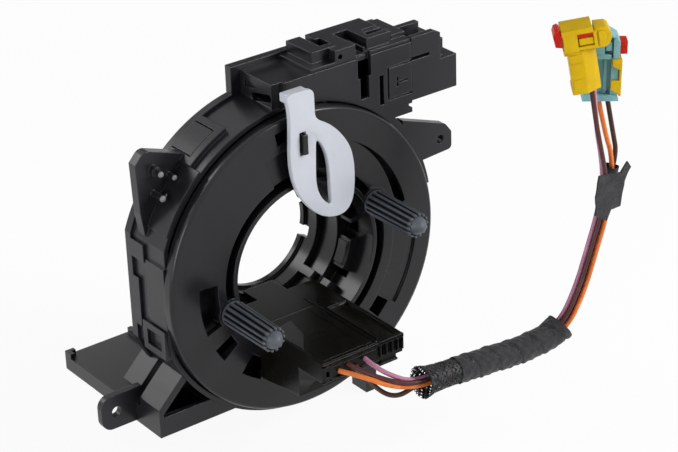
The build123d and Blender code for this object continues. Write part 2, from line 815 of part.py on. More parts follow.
with BuildPart() as shelf_lid:
    with BuildSketch(Plane.XY.offset(shelf_top)):
        slab(lid_left + seat_gap, lid_right - seat_gap, lid_front + seat_gap, lid_back - seat_gap)
    extrude(amount=-lid_plate)
save(shelf_lid.part, "shelf_lid")

# Plug of the harness in the shelf's socket, with one wire port for each wire
wire_ports = {
    "orange": (-13.2, -20.8),
    "plum": (-9.8, -19.6),
    "brown": (-6.5, -21.4),
    "pink": (-3.0, -20.2),
}
with BuildPart() as harness_plug:
    with BuildSketch(front(plug_back)):
        slab(socket_left + seat_gap, socket_right - seat_gap, socket_bottom + seat_gap, socket_top - seat_gap)
    extrude(amount=plug_back - shelf_front)
save(harness_plug.part, "harness_plug")

with BuildPart() as rotor_terminals:
    with BuildSketch(front(socket_back)):
        with Locations(*wire_ports.values()):
            Rectangle(2 * pin_half, 2 * pin_half)
    extrude(amount=socket_back - plug_back)
save(rotor_terminals.part, "rotor_terminals")

# ------------------------------------------------------------ transport lock
hook_bottom = block_top + 0.2
hook_plate = 2.0
hook_top = hook_bottom + hook_plate
hook_left = -9.8
hook_right = -1.4
hook_nose_right = -6.0
hook_nose = 57.5
hook_nose_depth = 2.0
hook_round = [(1.4, hook_top - 1.4), (2.6, hook_top - 4.3)]
neck_right = [(2.6, 52.0), (3.3, 49.9), (5.0, 48.3)]
leaf_right = [(17.3, 37.4), (20.9, 24.0)]
leaf_foot = [(19.0, 16.4), (12.0, 14.0)]
leaf_left = [(-2.0, 21.7), (-7.5, 35.0)]
neck_left = [(-7.5, 35.0), (-6.9, 53.0), (-8.2, 59.0)]
loop_outer = [(2.4, 42.6), (6.2, 35.0), (7.5, 19.8)]
loop_inner = (2.3, 28.0)
with BuildPart() as transport_lock:
    with BuildSketch(front(lock_front + lock_plate)):
        with BuildLine():
            Line((hook_left, hook_top), (hook_right, hook_top))
            ThreePointArc((hook_right, hook_top), *hook_round)
            Line(hook_round[-1], neck_right[0])
            ThreePointArc(*neck_right)
            ThreePointArc(neck_right[-1], *leaf_right)
            ThreePointArc(leaf_right[-1], *leaf_foot)
            ThreePointArc(leaf_foot[-1], *leaf_left)
            Polyline(*neck_left, (hook_left, hook_bottom), (hook_left, hook_top))
        make_face()
        with BuildLine():
            ThreePointArc(*loop_outer)
            ThreePointArc(loop_outer[-1], loop_inner, loop_outer[0])
        make_face(mode=Mode.SUBTRACT)
        slab(lug_left - lug_gap, lug_right + lug_gap, lug_bottom - lug_gap, lug_top + lug_gap, mode=Mode.SUBTRACT)
    extrude(amount=lock_plate)
    with BuildSketch(front(disc_rim_depth)):
        slab(hook_left, hook_right, hook_bottom, hook_top)
    extrude(amount=disc_rim_depth - lock_front)
    with BuildSketch(front(disc_rim_depth)):
        slab(hook_left, hook_nose_right, hook_nose, hook_top)
    extrude(amount=hook_nose_depth)
save(transport_lock.part, "transport_lock")

# ------------------------------------------------------------ harness
# Four wires leave the plug, run side by side through the braided sleeve and the
# tape, and rise to the two connectors. The bundle lies in one plane across the axis.
bundle_depth = -50.0
bundle = [
    (4.6, bundle_depth, -24.9),
    (18.0, bundle_depth, -25.7),
    (36.0, bundle_depth, -27.6),
    (54.0, bundle_depth, -29.0),
    (66.0, bundle_depth, -26.0),
    (73.0, bundle_depth, -15.0),
    (78.5, bundle_depth, -3.0),
    (83.5, bundle_depth, 9.0),
    (85.5, bundle_depth, 20.0),
]
lane_across = Vector(1.19, 0, -0.83)
lane_along = Vector(0, 0.85, 0)
wires = {
    "orange": {
        "from_plug": [(-10.0, -41.5, -22.5), (-3.0, -48.2, -26.3)],
        "lane": (1, -1),
        "to_connector": [(86.0, -51.0, 33.5), (83.6, -51.2, 43.0), (81.4, -51.2, 50.7)],
    },
    "brown": {
        "from_plug": [(-6.0, -41.0, -24.5), (-1.5, -46.8, -28.0)],
        "lane": (1, 1),
        "to_connector": [(85.2, -49.4, 33.5), (81.9, -49.5, 43.0), (79.0, -49.5, 51.0)],
    },
    "plum": {
        "from_plug": [(-8.2, -41.0, -20.3), (-2.5, -47.8, -22.6)],
        "lane": (-1, -1),
        "to_connector": [(78.0, -54.0, 36.2), (73.8, -55.4, 47.9), (69.9, -56.5, 57.7)],
    },
    "pink": {
        "from_plug": [(-4.2, -40.0, -19.8), (-2.2, -45.8, -21.2)],
        "lane": (-1, 1),
        "to_connector": [(77.4, -52.3, 36.0), (72.6, -54.0, 47.6), (68.5, -55.5, 57.3)],
    },
}
braid_start = (9.6, bundle_depth, -25.2)
braid_end = (60.5, bundle_depth, -27.4)
tape_start = (20.0, bundle_depth, -25.9)
tape_end = (62.5, bundle_depth, -26.9)
tape_radius = 4.4
mouth_bore = 4.5
flag_from = (82.4, bundle_depth, 6.4)
flag_to = (85.0, bundle_depth, 17.2)
flag_bore = 3.0
flag_radius = 3.7
flag_plate = 1.0


def corner_radii(points):
    """Largest arc at each corner that leaves a tenth of the shorter run straight."""
    radii = []
    for before, corner, after in zip(points, points[1:], points[2:]):
        run_in = Vector(*corner) - Vector(*before)
        run_out = Vector(*after) - Vector(*corner)
        half_turn = math.radians(run_in.get_angle(run_out)) / 2
        radii.append(0.45 * min(run_in.length, run_out.length) / math.tan(half_turn))
    return radii


def start_plane(line):
    """Plane across the start of a line, for the section that is swept along it."""
    return Plane(origin=line @ 0, z_dir=line % 0)


for colour, route in wires.items():
    offset_in_bundle = lane_across * route["lane"][0] + lane_along * route["lane"][1]
    port_x, port_z = wire_ports[colour]
    points = [(port_x, shelf_front, port_z), *route["from_plug"]]
    points += [tuple(Vector(*point) + offset_in_bundle) for point in bundle]
    points += route["to_connector"]
    with BuildPart() as wire:
        with BuildLine() as route_line:
            FilletPolyline(*points, radius=corner_radii(points))
        path = route_line.wire()
        with BuildSketch(start_plane(path)):
            Circle(wire_radius)
        sweep(path=path)
    solid_length = wire.part.volume / (math.pi * wire_radius**2)
    print(colour, "radii", [round(radius, 1) for radius in corner_radii(points)])
    print(colour, "length", round(path.length, 1), "from volume", round(solid_length, 1))
    save(wire.part, f"{colour}_wire")

# Braided sleeve with its flared mouth
with BuildPart() as braided_sleeve:
    braid_points = [braid_start, *bundle[1:4], braid_end]
    with BuildLine() as braid_line:
        FilletPolyline(*braid_points, radius=corner_radii(braid_points))
    with BuildSketch(start_plane(braid_line.line)):
        Circle(sleeve_radius)
        Circle(sleeve_bore, mode=Mode.SUBTRACT)
    sweep(path=braid_line.line)
    mouth_direction = Vector(*braid_start) - Vector(*bundle[0])
    mouth = Plane(origin=bundle[0], z_dir=mouth_direction)
    neck = Plane(origin=braid_start, z_dir=mouth_direction)
    with BuildSketch(mouth):
        Circle(sleeve_mouth_radius)
    with BuildSketch(neck):
        Circle(sleeve_radius)
    loft()
    with BuildSketch(mouth):
        Circle(mouth_bore)
    with BuildSketch(neck):
        Circle(sleeve_bore)
    loft(mode=Mode.SUBTRACT)
save(braided_sleeve.part, "braided_sleeve")

with BuildPart() as tape_wrap:
    tape_points = [tape_start, *bundle[2:4], tape_end]
    with BuildLine() as tape_line:
        FilletPolyline(*tape_points, radius=corner_radii(tape_points))
    with BuildSketch(start_plane(tape_line.line)):
        Circle(tape_radius)
        Circle(sleeve_radius + 0.1, mode=Mode.SUBTRACT)
    sweep(path=tape_line.line)
save(tape_wrap.part, "tape_wrap")

# The two connectors face the same way and lean a little
connector_yaw = -36.0


def facing(origin, lean):
    """Upright plane turned by the connectors' yaw and leaning sideways."""
    yaw = math.radians(connector_yaw)
    tilt = math.radians(lean)
    along = (math.cos(yaw) * math.cos(tilt), math.sin(yaw) * math.cos(tilt), math.sin(tilt))
    return Plane(origin=origin, x_dir=along, z_dir=(math.sin(yaw), -math.cos(yaw), 0))


flag_origin = (84.2, bundle_depth, 13.5)
with BuildPart() as tape_flag:
    flag_axis = Vector(*flag_to) - Vector(*flag_from)
    with BuildSketch(Plane(origin=flag_from, z_dir=flag_axis)):
        Circle(flag_radius)
    extrude(amount=flag_axis.length)
    with BuildSketch(facing(flag_origin, 0)):
        with BuildLine():
            Polyline((-3.6, 4.6), (4.6, 7.2), (5.0, 11.5), (7.6, 10.5), (7.0, -1.8), (-3.2, -4.4), close=True)
        make_face()
    extrude(amount=flag_plate / 2, both=True)
    with BuildSketch(Plane(origin=Vector(*flag_from) - flag_axis, z_dir=flag_axis)):
        Circle(flag_bore)
    extrude(amount=3 * flag_axis.length, mode=Mode.SUBTRACT)
save(tape_flag.part, "tape_flag")

yellow_origin = (69.2, -56.0, 57.5)
yellow_lean = 9.0
yellow_depth = 8.0
yellow_widths = [(0.0, 4.3), (13.8, 5.0)]
bevel_left = 0.4
bevel_back = -0.3
head_depth = 9.0
lobe_depth = 7.0
head_left = -5.5
head_right = 5.0
head_bottom = 12.8
head_top = 24.2
lobe_right = 9.8
lobe_top = 22.6
window_bottom = 19.6
window_top = 21.2
yellow_tab_reach = 4.0
tab_gap = 0.15
tab_travel = 3.0
teal_origin = (79.7, -50.0, 50.9)
teal_lean = -6.0
teal_depth = 9.0
teal_half_width = 5.4
teal_height = 21.5
teal_tab_reach = 1.8
teal_recess = [-teal_half_width, 2.0, 2.4, 12.8]
teal_recess_depth = 1.5
teal_windows = [(1.6, 3.4, 14.6, 18.0), (1.2, 3.0, 19.0, 20.2)]
teal_window_depth = 1.0
clip_plate = 0.5
clip_left = 2.3
clip_claws = [(0.8, 5.5), (8.7, 12.7)]



def across(plane, height):
    """Plane across a connector at a height over its foot, with local Y to its back."""
    return Plane(origin=plane.from_local_coords((0, height, 0)), x_dir=plane.x_dir, z_dir=plane.y_dir)


yellow_plane = facing(yellow_origin, yellow_lean)
teal_plane = facing(teal_origin, teal_lean)

with BuildPart() as yellow_connector:
    # body with a broad bevel down its right front edge, wider towards the head
    for height, half_width in yellow_widths:
        with BuildSketch(across(yellow_plane, height)):
            with BuildLine():
                Polyline(
                    (-half_width, -yellow_depth / 2),
                    (bevel_left, -yellow_depth / 2),
                    (half_width, bevel_back),
                    (half_width, yellow_depth / 2),
                    (-half_width, yellow_depth / 2),
                    close=True,
                )
            make_face()
    loft()
    with BuildSketch(yellow_plane):
        slab(head_left, head_right, head_bottom, head_top)
    extrude(amount=head_depth / 2, both=True)
    with BuildSketch(yellow_plane):
        slab(head_right - 0.5, lobe_right, head_bottom + 0.4, lobe_top)
        fillet(vertices().group_by(yellow_plane.location.x_axis)[-1], 3.0)
    extrude(amount=lobe_depth / 2, both=True)
    # way of the lock through the head, with the window in front of it
    with BuildSketch(yellow_plane):
        slab(head_left, head_right - 1.0, window_bottom - tab_gap, window_top + tab_gap)
    extrude(amount=head_depth / 2 - 1.0, mode=Mode.SUBTRACT)
    with BuildSketch(yellow_plane):
        slab(-0.6, head_right - 1.0, window_bottom, window_top)
    extrude(amount=head_depth, mode=Mode.SUBTRACT)
save(yellow_connector.part, "yellow_connector")

with BuildPart() as yellow_lock_tab:
    with BuildSketch(yellow_plane):
        slab(head_left - yellow_tab_reach, head_left - tab_gap, head_bottom + 2.0, window_top + 1.4)
        fillet(vertices(), 0.8)
    extrude(amount=head_depth / 2 - 1.2, both=True)
    with BuildSketch(yellow_plane):
        slab(head_left - 1.0, head_right - 1.2, window_bottom, window_top)
    extrude(amount=head_depth / 2 - 1.2)
save(yellow_lock_tab.part, "yellow_lock_tab")

with BuildPart() as teal_connector:
    with BuildSketch(teal_plane):
        slab(-teal_half_width, teal_half_width, 0, teal_height)
        chamfer(vertices().sort_by(Axis.Z)[-1], 2.4)
    extrude(amount=teal_depth / 2, both=True)
    # hollow down the left of the front, and two windows above it
    with BuildSketch(teal_plane.offset(teal_depth / 2)):
        slab(*teal_recess)
    extrude(amount=-teal_recess_depth, mode=Mode.SUBTRACT)
    with BuildSketch(teal_plane.offset(teal_depth / 2)):
        for window in teal_windows:
            slab(*window)
    extrude(amount=-teal_window_depth, mode=Mode.SUBTRACT)
    # cut for the lock tab on the right
    with BuildSketch(teal_plane):
        slab(0.0, teal_half_width, 14.0 - tab_gap, 18.5 + tab_gap)
    extrude(amount=teal_depth / 2 - 2.0, both=True, mode=Mode.SUBTRACT)
save(teal_connector.part, "teal_connector")

with BuildPart() as teal_lock_tab:
    with BuildSketch(teal_plane):
        slab(tab_gap, teal_half_width + teal_tab_reach, 14.0, 18.5)
    extrude(amount=teal_depth / 2 - 2.0 - tab_gap, both=True)
save(teal_lock_tab.part, "teal_lock_tab")

# Yellow side lock of the teal connector: a strip on its right side with two claws
# that reach round onto the front
with BuildPart() as teal_side_lock:
    with BuildSketch(teal_plane):
        slab(teal_half_width, teal_half_width + clip_plate, clip_claws[0][0], clip_claws[-1][1])
    extrude(amount=teal_depth / 2, both=True)
    with BuildSketch(teal_plane.offset(teal_depth / 2)):
        for claw_bottom, claw_top in clip_claws:
            slab(clip_left, teal_half_width + clip_plate, claw_bottom, claw_top)
    extrude(amount=clip_plate)
save(teal_side_lock.part, "teal_side_lock")
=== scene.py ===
import math
import random

import bmesh
import bpy
from mathutils import Matrix, Vector


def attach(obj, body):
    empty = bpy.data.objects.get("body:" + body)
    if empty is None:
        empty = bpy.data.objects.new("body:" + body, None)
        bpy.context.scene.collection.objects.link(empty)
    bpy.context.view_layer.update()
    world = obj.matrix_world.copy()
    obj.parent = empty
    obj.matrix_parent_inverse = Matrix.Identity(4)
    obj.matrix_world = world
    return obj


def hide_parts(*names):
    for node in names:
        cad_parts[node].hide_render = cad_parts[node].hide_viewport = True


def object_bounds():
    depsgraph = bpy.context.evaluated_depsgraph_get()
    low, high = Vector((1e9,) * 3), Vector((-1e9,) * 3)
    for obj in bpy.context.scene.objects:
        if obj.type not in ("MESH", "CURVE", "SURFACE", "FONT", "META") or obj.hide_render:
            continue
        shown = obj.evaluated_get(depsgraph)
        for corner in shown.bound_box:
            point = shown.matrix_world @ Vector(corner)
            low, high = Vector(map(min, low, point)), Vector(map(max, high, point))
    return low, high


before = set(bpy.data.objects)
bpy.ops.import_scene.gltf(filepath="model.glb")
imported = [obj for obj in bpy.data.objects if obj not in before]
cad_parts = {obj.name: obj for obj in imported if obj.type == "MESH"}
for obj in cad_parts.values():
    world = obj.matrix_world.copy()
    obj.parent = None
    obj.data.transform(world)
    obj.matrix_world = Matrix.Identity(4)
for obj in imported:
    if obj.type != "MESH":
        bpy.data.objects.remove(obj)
cad_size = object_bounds()

# ============================================================ the view
# The clock spring is looked at from the wheel side, from its left and from above,
# with a long lens and the camera rolled by two degrees.
view_right = Vector((0.79673, -0.60352, -0.03140))
view_up = Vector((0.29424, 0.34200, 0.89245))
view_back = Vector((-0.52787, -0.72028, 0.45006))
view_from = Vector((-0.37846, -0.53457, 0.34223))
view_lens = 122.1
view_sensor = 36.0
view_near = 0.01


def put_in(name, data):
    """An object that holds some data, linked to the scene."""
    made = bpy.data.objects.new(name, data)
    bpy.context.scene.collection.objects.link(made)
    return made


lens = bpy.data.cameras.new("view")
lens.sensor_width = view_sensor
lens.lens = view_lens
lens.clip_start = view_near
camera = put_in("view", lens)
view_turn = Matrix((view_right, view_up, view_back)).transposed().to_4x4()
camera.matrix_world = Matrix.Translation(view_from) @ view_turn
bpy.context.scene.camera = camera
bpy.context.scene.view_settings.view_transform = "Standard"

# ============================================================ harness wires
# Four stranded wires in coloured insulation leave the plug in the shelf, run side by
# side through the sleeve and the tape, and rise in pairs to the two connectors.
# Each is pressed into its port at one end and crimped in its connector at the other.
wire_diameter = 0.0016
bundle_depth = -0.050
bundle_line = [
    (0.0046, bundle_depth, -0.0249),
    (0.0180, bundle_depth, -0.0257),
    (0.0360, bundle_depth, -0.0276),
    (0.0540, bundle_depth, -0.0290),
    (0.0660, bundle_depth, -0.0260),
    (0.0730, bundle_depth, -0.0150),
    (0.0775, bundle_depth, -0.0030),
    (0.0818, bundle_depth, 0.0085),
    (0.0842, bundle_depth, 0.0200),
]
lane_across = Vector((0.00119, 0, -0.00083))
lane_along = Vector((0, 0.00085, 0))
wire_routes = {
    "orange": {
        "leaves": [(-0.0132, -0.0335, -0.0208), (-0.0100, -0.0412, -0.0206), (-0.0030, -0.0480, -0.0242)],
        "lane": (1, -1),
        "rises": [(0.0845, -0.0510, 0.0307), (0.0815, -0.0511, 0.0380), (0.0782, -0.0502, 0.0540)],
        "length": 0.170,
    },
    "brown": {
        "leaves": [(-0.0065, -0.0335, -0.0214), (-0.0060, -0.0410, -0.0258), (-0.0015, -0.0468, -0.0294)],
        "lane": (1, 1),
        "rises": [(0.0883, -0.0494, 0.0290), (0.0866, -0.0494, 0.0359), (0.0826, -0.0493, 0.0545)],
        "length": 0.166,
    },
    "plum": {
        "leaves": [(-0.0098, -0.0335, -0.0196), (-0.0082, -0.0410, -0.0203), (-0.0025, -0.0478, -0.0226)],
        "lane": (-1, -1),
        "rises": [(0.0766, -0.0548, 0.0347), (0.0734, -0.0552, 0.0466), (0.0704, -0.0562, 0.0592)],
        "length": 0.173,
    },
    "pink": {
        "leaves": [(-0.0030, -0.0335, -0.0202), (-0.0042, -0.0400, -0.0198), (-0.0022, -0.0458, -0.0212)],
        "lane": (-1, 1),
        "rises": [(0.0780, -0.0528, 0.0339), (0.0754, -0.0534, 0.0430), (0.0727, -0.0547, 0.0592)],
        "length": 0.169,
    },
}
wire_colours = {
    "orange": (0.78, 0.20, 0.035),
    "brown": (0.060, 0.022, 0.014),
    "plum": (0.085, 0.022, 0.022),
    "pink": (0.62, 0.26, 0.40),
}


class Value:
    """One socket of a material's nodes. Plain arithmetic on it adds Math nodes."""

    def __init__(self, tree, socket):
        self.tree = tree
        self.socket = socket

    def node(self, kind, settings, inputs, output=0):
        """The output of a new node, with its settings and inputs given by name."""
        made = self.tree.nodes.new(kind)
        for name, setting in settings.items():
            setattr(made, name, setting)
        for name, value in inputs.items():
            if isinstance(value, Value):
                self.tree.links.new(value.socket, made.inputs[name])
            else:
                made.inputs[name].default_value = value
        return Value(self.tree, made.outputs[output])

    def math(self, operation, first, second):
        return self.node("ShaderNodeMath", {"operation": operation}, {0: first, 1: second})

    def __add__(self, other):
        return self.math("ADD", self, other)

    __radd__ = __add__

    def __sub__(self, other):
        return self.math("SUBTRACT", self, other)

    def __rsub__(self, other):
        return self.math("SUBTRACT", other, self)

    def __mul__(self, other):
        return self.math("MULTIPLY", self, other)

    def larger(self, other):
        return self.math("MAXIMUM", self, other)

    def smaller(self, other):
        return self.math("MINIMUM", self, other)

    def above(self, low, high):
        """0 below low, 1 above high and a smooth step between."""
        return self.node(
            "ShaderNodeMapRange",
            {"interpolation_type": "SMOOTHSTEP"},
            {"Value": self, "From Min": low, "From Max": high},
        )

    def noise(self, scale, detail=3.0, rough=0.5):
        """Soft noise over a place, with scale in blobs to the metre."""
        inputs = {"Vector": self, "Scale": scale, "Detail": detail, "Roughness": rough}
        return self.node("ShaderNodeTexNoise", {}, inputs)

    def stretched(self, x, y, z):
        """A place whose axes are scaled one by one."""
        return self.node("ShaderNodeMapping", {}, {"Vector": self, "Scale": (x, y, z)})

    def mixed(self, first, second):
        """The colour between two, by this value."""
        settings = {"data_type": "RGBA", "clamp_factor": True}
        colour_out, colour_ins = 2, (6, 7)
        inputs = {0: self}
        for index, colour in zip(colour_ins, (first, second)):
            inputs[index] = colour if isinstance(colour, Value) else (*colour, 1)
        return self.node("ShaderNodeMix", settings, inputs, colour_out)


def new_finish(name, **fixed):
    """A material, its surface shader, and the place on the piece that patterns read."""
    made = bpy.data.materials.new(name)
    made.use_nodes = True
    surface = made.node_tree.nodes["Principled BSDF"]
    for socket, value in fixed.items():
        surface.inputs[socket.replace("_", " ")].default_value = value
    coordinates = made.node_tree.nodes.new("ShaderNodeTexCoord")
    return made, surface, Value(made.node_tree, coordinates.outputs["Object"])


corner_samples = 6
fine_relief = 0.00003


def dress(surface, colour, rough, height, relief=fine_relief, corner=0.0):
    """Links colour, roughness and the bump of a height to a surface shader."""
    links = height.tree.links
    links.new(colour.socket, surface.inputs["Base Color"])
    links.new(rough.socket, surface.inputs["Roughness"])
    inputs = {"Height": height, "Distance": relief, "Strength": 1.0}
    if corner:
        rounding = {"samples": corner_samples}
        inputs["Normal"] = height.node("ShaderNodeBevel", rounding, {"Radius": corner})
    links.new(height.node("ShaderNodeBump", {}, inputs).socket, surface.inputs["Normal"])


def insulation(name, colour):
    """Drawn PVC: a cloudy colour, a little dust, and rubbed spots."""
    made, surface, place = new_finish(name, Specular_IOR_Level=0.28)
    cloud = place.noise(90.0)
    dust = place.noise(1600.0, 2.0).above(0.56, 0.72)
    rubbed = place.noise(240.0, 4.0).above(0.58, 0.70)
    dark = tuple(0.78 * c for c in colour)
    light = tuple(min(1.0, 1.15 * c + 0.02) for c in colour)
    tone = cloud.above(0.35, 0.65).mixed(dark, colour)
    tone = (rubbed * 0.5).mixed(tone, light)
    dress(surface, tone, 0.34 + cloud * 0.12 + dust * 0.10, cloud + dust * 0.4)
    return made


def run_line(curve, points):
    """Adds the smooth line along a route to a curve."""
    spline = curve.splines.new("NURBS")
    spline.points.add(len(points) - 1)
    for knot, point in zip(spline.points, points):
        knot.co = (*point, 1)
    spline.order_u = 3
    spline.use_endpoint_u = True


for colour, route in wire_routes.items():
    offset = lane_across * route["lane"][0] + lane_along * route["lane"][1]
    points = route["leaves"] + [Vector(point) + offset for point in bundle_line] + route["rises"]
    curve = bpy.data.curves.new(f"{colour}_insulated_wire", "CURVE")
    curve.dimensions = "3D"
    curve.bevel_depth = wire_diameter / 2
    curve.bevel_resolution = 4
    curve.resolution_u = 10
    curve.use_fill_caps = True
    run_line(curve, points)
    wire = put_in(f"{colour}_insulated_wire", curve)
    curve.materials.append(insulation(f"{colour}_insulation", wire_colours[colour]))
    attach(wire, "rotor")
    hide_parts(f"{colour}_wire")

# ============================================================ floor and lamps
# A pale floor that reads as white, with the object's soft shadow on it. A wide key
# stands at the right and above, a softer fill at the left, and two softboxes behind
# that the polished plastic mirrors. A black card behind keeps the flat tops dark.
floor_gap = 0.0004
floor_level = cad_size[0].z - floor_gap
floor_width = 12.0
white_paper = (0.95, 0.95, 0.95)
paper_lift = 0.92
matt = 0.9
room_glow = 0.26
card_black = (0.01, 0.01, 0.01)
card_corners = [(0.10, 0.34, 0.15), (0.52, 0.20, 0.15), (0.52, 0.20, 0.42), (0.10, 0.34, 0.42)]
lamps = {
    "key_right": {"at": (0.62, -0.74, 0.58), "size": (0.45, 0.45), "watts": 10.0},
    "fill_left": {"at": (-1.05, -0.22, 0.16), "size": (0.6, 0.6), "watts": 5.6},
    "softbox_back_left": {"at": (-0.42, 0.62, 0.46), "size": (0.34, 0.34), "watts": 1.5},
    "softbox_back_right": {"at": (0.55, 0.70, 0.50), "size": (0.45, 0.30), "watts": 0.5},
}

ground = bmesh.new()
bmesh.ops.create_grid(ground, x_segments=1, y_segments=1, size=floor_width / 2)
bmesh.ops.translate(ground, vec=(0, 0, floor_level), verts=ground.verts)
floor_mesh = bpy.data.meshes.new("floor")
ground.to_mesh(floor_mesh)
ground.free()
floor = put_in("floor", floor_mesh)


def background_rays(tree):
    """1 for the rays that show the background: straight, mirrored or through glass."""
    path = tree.nodes.new("ShaderNodeLightPath")
    seen = Value(tree, path.outputs["Is Camera Ray"])
    mirrored = Value(tree, path.outputs["Is Glossy Ray"])
    through = Value(tree, path.outputs["Is Transmission Ray"])
    return seen.larger(mirrored.larger(through))


def mix_over(surface, other, share):
    """Shows a second shader in place of a surface, by a share for each ray."""
    nodes, links = share.tree.nodes, share.tree.links
    mix = nodes.new("ShaderNodeMixShader")
    links.new(share.socket, mix.inputs[0])
    links.new(surface.outputs[0], mix.inputs[1])
    links.new(other.outputs[0], mix.inputs[2])
    links.new(mix.outputs[0], nodes["Material Output"].inputs["Surface"])


paper, paper_surface, paper_place = new_finish(
    "pale_floor", Base_Color=(*white_paper, 1), Roughness=matt,
)
lift = paper_place.tree.nodes.new("ShaderNodeEmission")
lift.inputs["Color"].default_value = (1, 1, 1, 1)
mix_over(paper_surface, lift, background_rays(paper_place.tree) * paper_lift)
floor_mesh.materials.append(paper)

world = bpy.data.worlds.new("studio")
world.use_nodes = True
bpy.context.scene.world = world
room = world.node_tree
room_light = room.nodes["Background"]
room_light.inputs["Color"].default_value = (1, 1, 1, 1)
room_strength = background_rays(room) * (1 - room_glow) + room_glow
room.links.new(room_strength.socket, room_light.inputs["Strength"])

# The card stands above and behind, and only its front is there: rays pass through
# its back, so that it hides nothing in the views from behind.
card_mesh = bpy.data.meshes.new("black_card")
card_mesh.from_pydata(card_corners, [], [(0, 1, 2, 3)])
card_paint, card_surface, card_place = new_finish(
    "black_card", Base_Color=(*card_black, 1), Roughness=matt,
)
see_through = card_place.tree.nodes.new("ShaderNodeBsdfTransparent")
from_behind = card_place.node("ShaderNodeNewGeometry", {}, {}, "Backfacing")
mix_over(card_surface, see_through, from_behind)
card_mesh.materials.append(card_paint)
card = put_in("black_card", card_mesh)

for name, lamp in lamps.items():
    light = bpy.data.lights.new(name, "AREA")
    light.shape = "RECTANGLE"
    light.size, light.size_y = lamp["size"]
    light.energy = lamp["watts"]
    holder = put_in(name, light)
    holder.location = lamp["at"]
    holder.rotation_euler = (-holder.location).to_track_quat("-Z", "Y").to_euler()

# ============================================================ housing
# The fixed half is injection moulded in black plastic with a fine satin skin: the
# shell with its connector block, the cover behind it, the ribbed cover on the block
# and the lower bracket. They snap together, so their edges are soft and meet closely.
housing_black = (0.0120, 0.0120, 0.0150)
edge_round = 0.0004
highlight_edge_radius = 1.7 * edge_round
skin_depth = 0.000004
cloud_over_skin = 20.0


def moulded_plastic(name, colour, rough, shine=0.34):
    """Moulded plastic: flow clouds, a fine skin, smears, dust, and edges painted paler as a painted
    highlight.
    """
    made, surface, place = new_finish(name, Specular_IOR_Level=shine)
    cloud = place.noise(30.0, 2.0)
    skin = place.noise(1500.0, 2.0)
    dust = place.noise(620.0, 5.0, 0.7).above(0.63, 0.76)
    smear = place.stretched(1.0, 0.35, 1.0).noise(110.0, 4.0).above(0.42, 0.75)
    # Edges, found where a rounded normal leaves the true one, are painted paler here: a painted
    # highlight.
    facing = place.node("ShaderNodeNewGeometry", {}, {}, "Normal")
    rounded = place.node("ShaderNodeBevel", {"samples": corner_samples}, {"Radius": highlight_edge_radius})
    both = {0: facing, 1: rounded}
    match = place.node("ShaderNodeVectorMath", {"operation": "DOT_PRODUCT"}, both, "Value")
    edge = (1.0 - match).above(0.03, 0.30)
    pale = tuple(min(1.0, 1.6 * c + 0.014) for c in colour)
    deep = tuple(0.75 * c for c in colour)
    dusty = tuple(min(1.0, 1.1 * c + 0.012) for c in colour)
    tone = cloud.above(0.3, 0.7).mixed(deep, colour)
    tone = (dust * 0.35).mixed(tone, dusty)
    tone = (edge * 0.55).mixed(tone, pale)
    roughness = rough + cloud * 0.06 + smear * 0.06 + dust * 0.15 - edge * 0.05
    dress(surface, tone, roughness, skin + cloud * cloud_over_skin, skin_depth, edge_round)
    return made


def refinish(finish, *nodes):
    """Gives nodes of the frame a finish in place of their plain one."""
    for node in nodes:
        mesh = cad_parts[node].data
        mesh.materials.clear()
        mesh.materials.append(finish)


refinish(
    moulded_plastic("satin_black", housing_black, 0.27),
    "housing_shell", "rear_cover", "block_cover", "side_connector", "lower_bracket", "bracket_tray",
)

# ============================================================ rotor
# The turning half is moulded in the same black plastic from a polished tool, so its
# face is glossier: the disc, the hub sleeve inside it and the clip ring behind.
rotor_black = (0.0098, 0.0098, 0.0120)
rotor_finish = moulded_plastic("polished_black", rotor_black, 0.19)
refinish(rotor_finish, "rotor_disc", "hub_sleeve", "hub_clip_ring")

# ============================================================ inner parts
# The flat cable is copper strips laminated in film, coloured near black as painted shade for
# the dark hollow it lies in. It runs in a spiral between two slippery white rings. The
# terminals are tinned brass.
film_painted_shade = (0.010, 0.010, 0.012)
film_white = (0.62, 0.62, 0.60)
tin_colour = (0.70, 0.66, 0.56)

refinish(moulded_plastic("painted_shade_film", film_painted_shade, 0.35), "ribbon_cable")
refinish(moulded_plastic("slippery_film", film_white, 0.45), "rear_slip_ring", "front_slip_ring")
tinned = moulded_plastic("tinned_brass", tin_colour, 0.25)
tinned.node_tree.nodes["Principled BSDF"].inputs["Metallic"].default_value = 1.0
refinish(tinned, "stator_terminals", "rotor_terminals")

# ============================================================ drive pegs
# Grey rubber sleeves pushed over the posts of the disc. Rounded ribs run along each,
# with painted shade in the grooves between them, and end one by one round its pointed tip.
peg_circle = 0.0306
peg_angles = {"right": math.radians(23.0), "left": math.radians(196.5)}
peg_places = {
    side: Vector((peg_circle * math.cos(angle), 0, peg_circle * math.sin(angle)))
    for side, angle in peg_angles.items()
}
peg_core = [
    (0.0043, 0.0), (0.0043, -0.0006), (0.0031, -0.0009), (0.0030, -0.0200), (0.0034, -0.0212),
    (0.0029, -0.0228), (0.0019, -0.0243), (0.0009, -0.0251), (0.0, -0.0253),
]
groove_floor = 0.0038
groove_top = 0.00445
rib_count = 14
rib_radius = 0.00054
rib_start = -0.0004
rib_end = -0.0226
rib_circle = 0.0039
rib_lean = math.radians(0.5)
shade_stops_at = (0.0205, 0.0222)
groove_painted_shade = (0.010, 0.012, 0.015)


def show(piece_mesh, name, finish, body, replaced=(), soft_angle=40.0):
    """Puts a finished mesh on a body with its material, and hides the parts it replaces."""
    for face in piece_mesh.polygons:
        face.use_smooth = True
    piece_mesh.set_sharp_from_angle(angle=math.radians(soft_angle))
    piece_mesh.materials.clear()
    piece_mesh.materials.append(finish)
    piece = put_in(name, piece_mesh)
    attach(piece, body)
    if replaced:
        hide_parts(*replaced)
    return piece


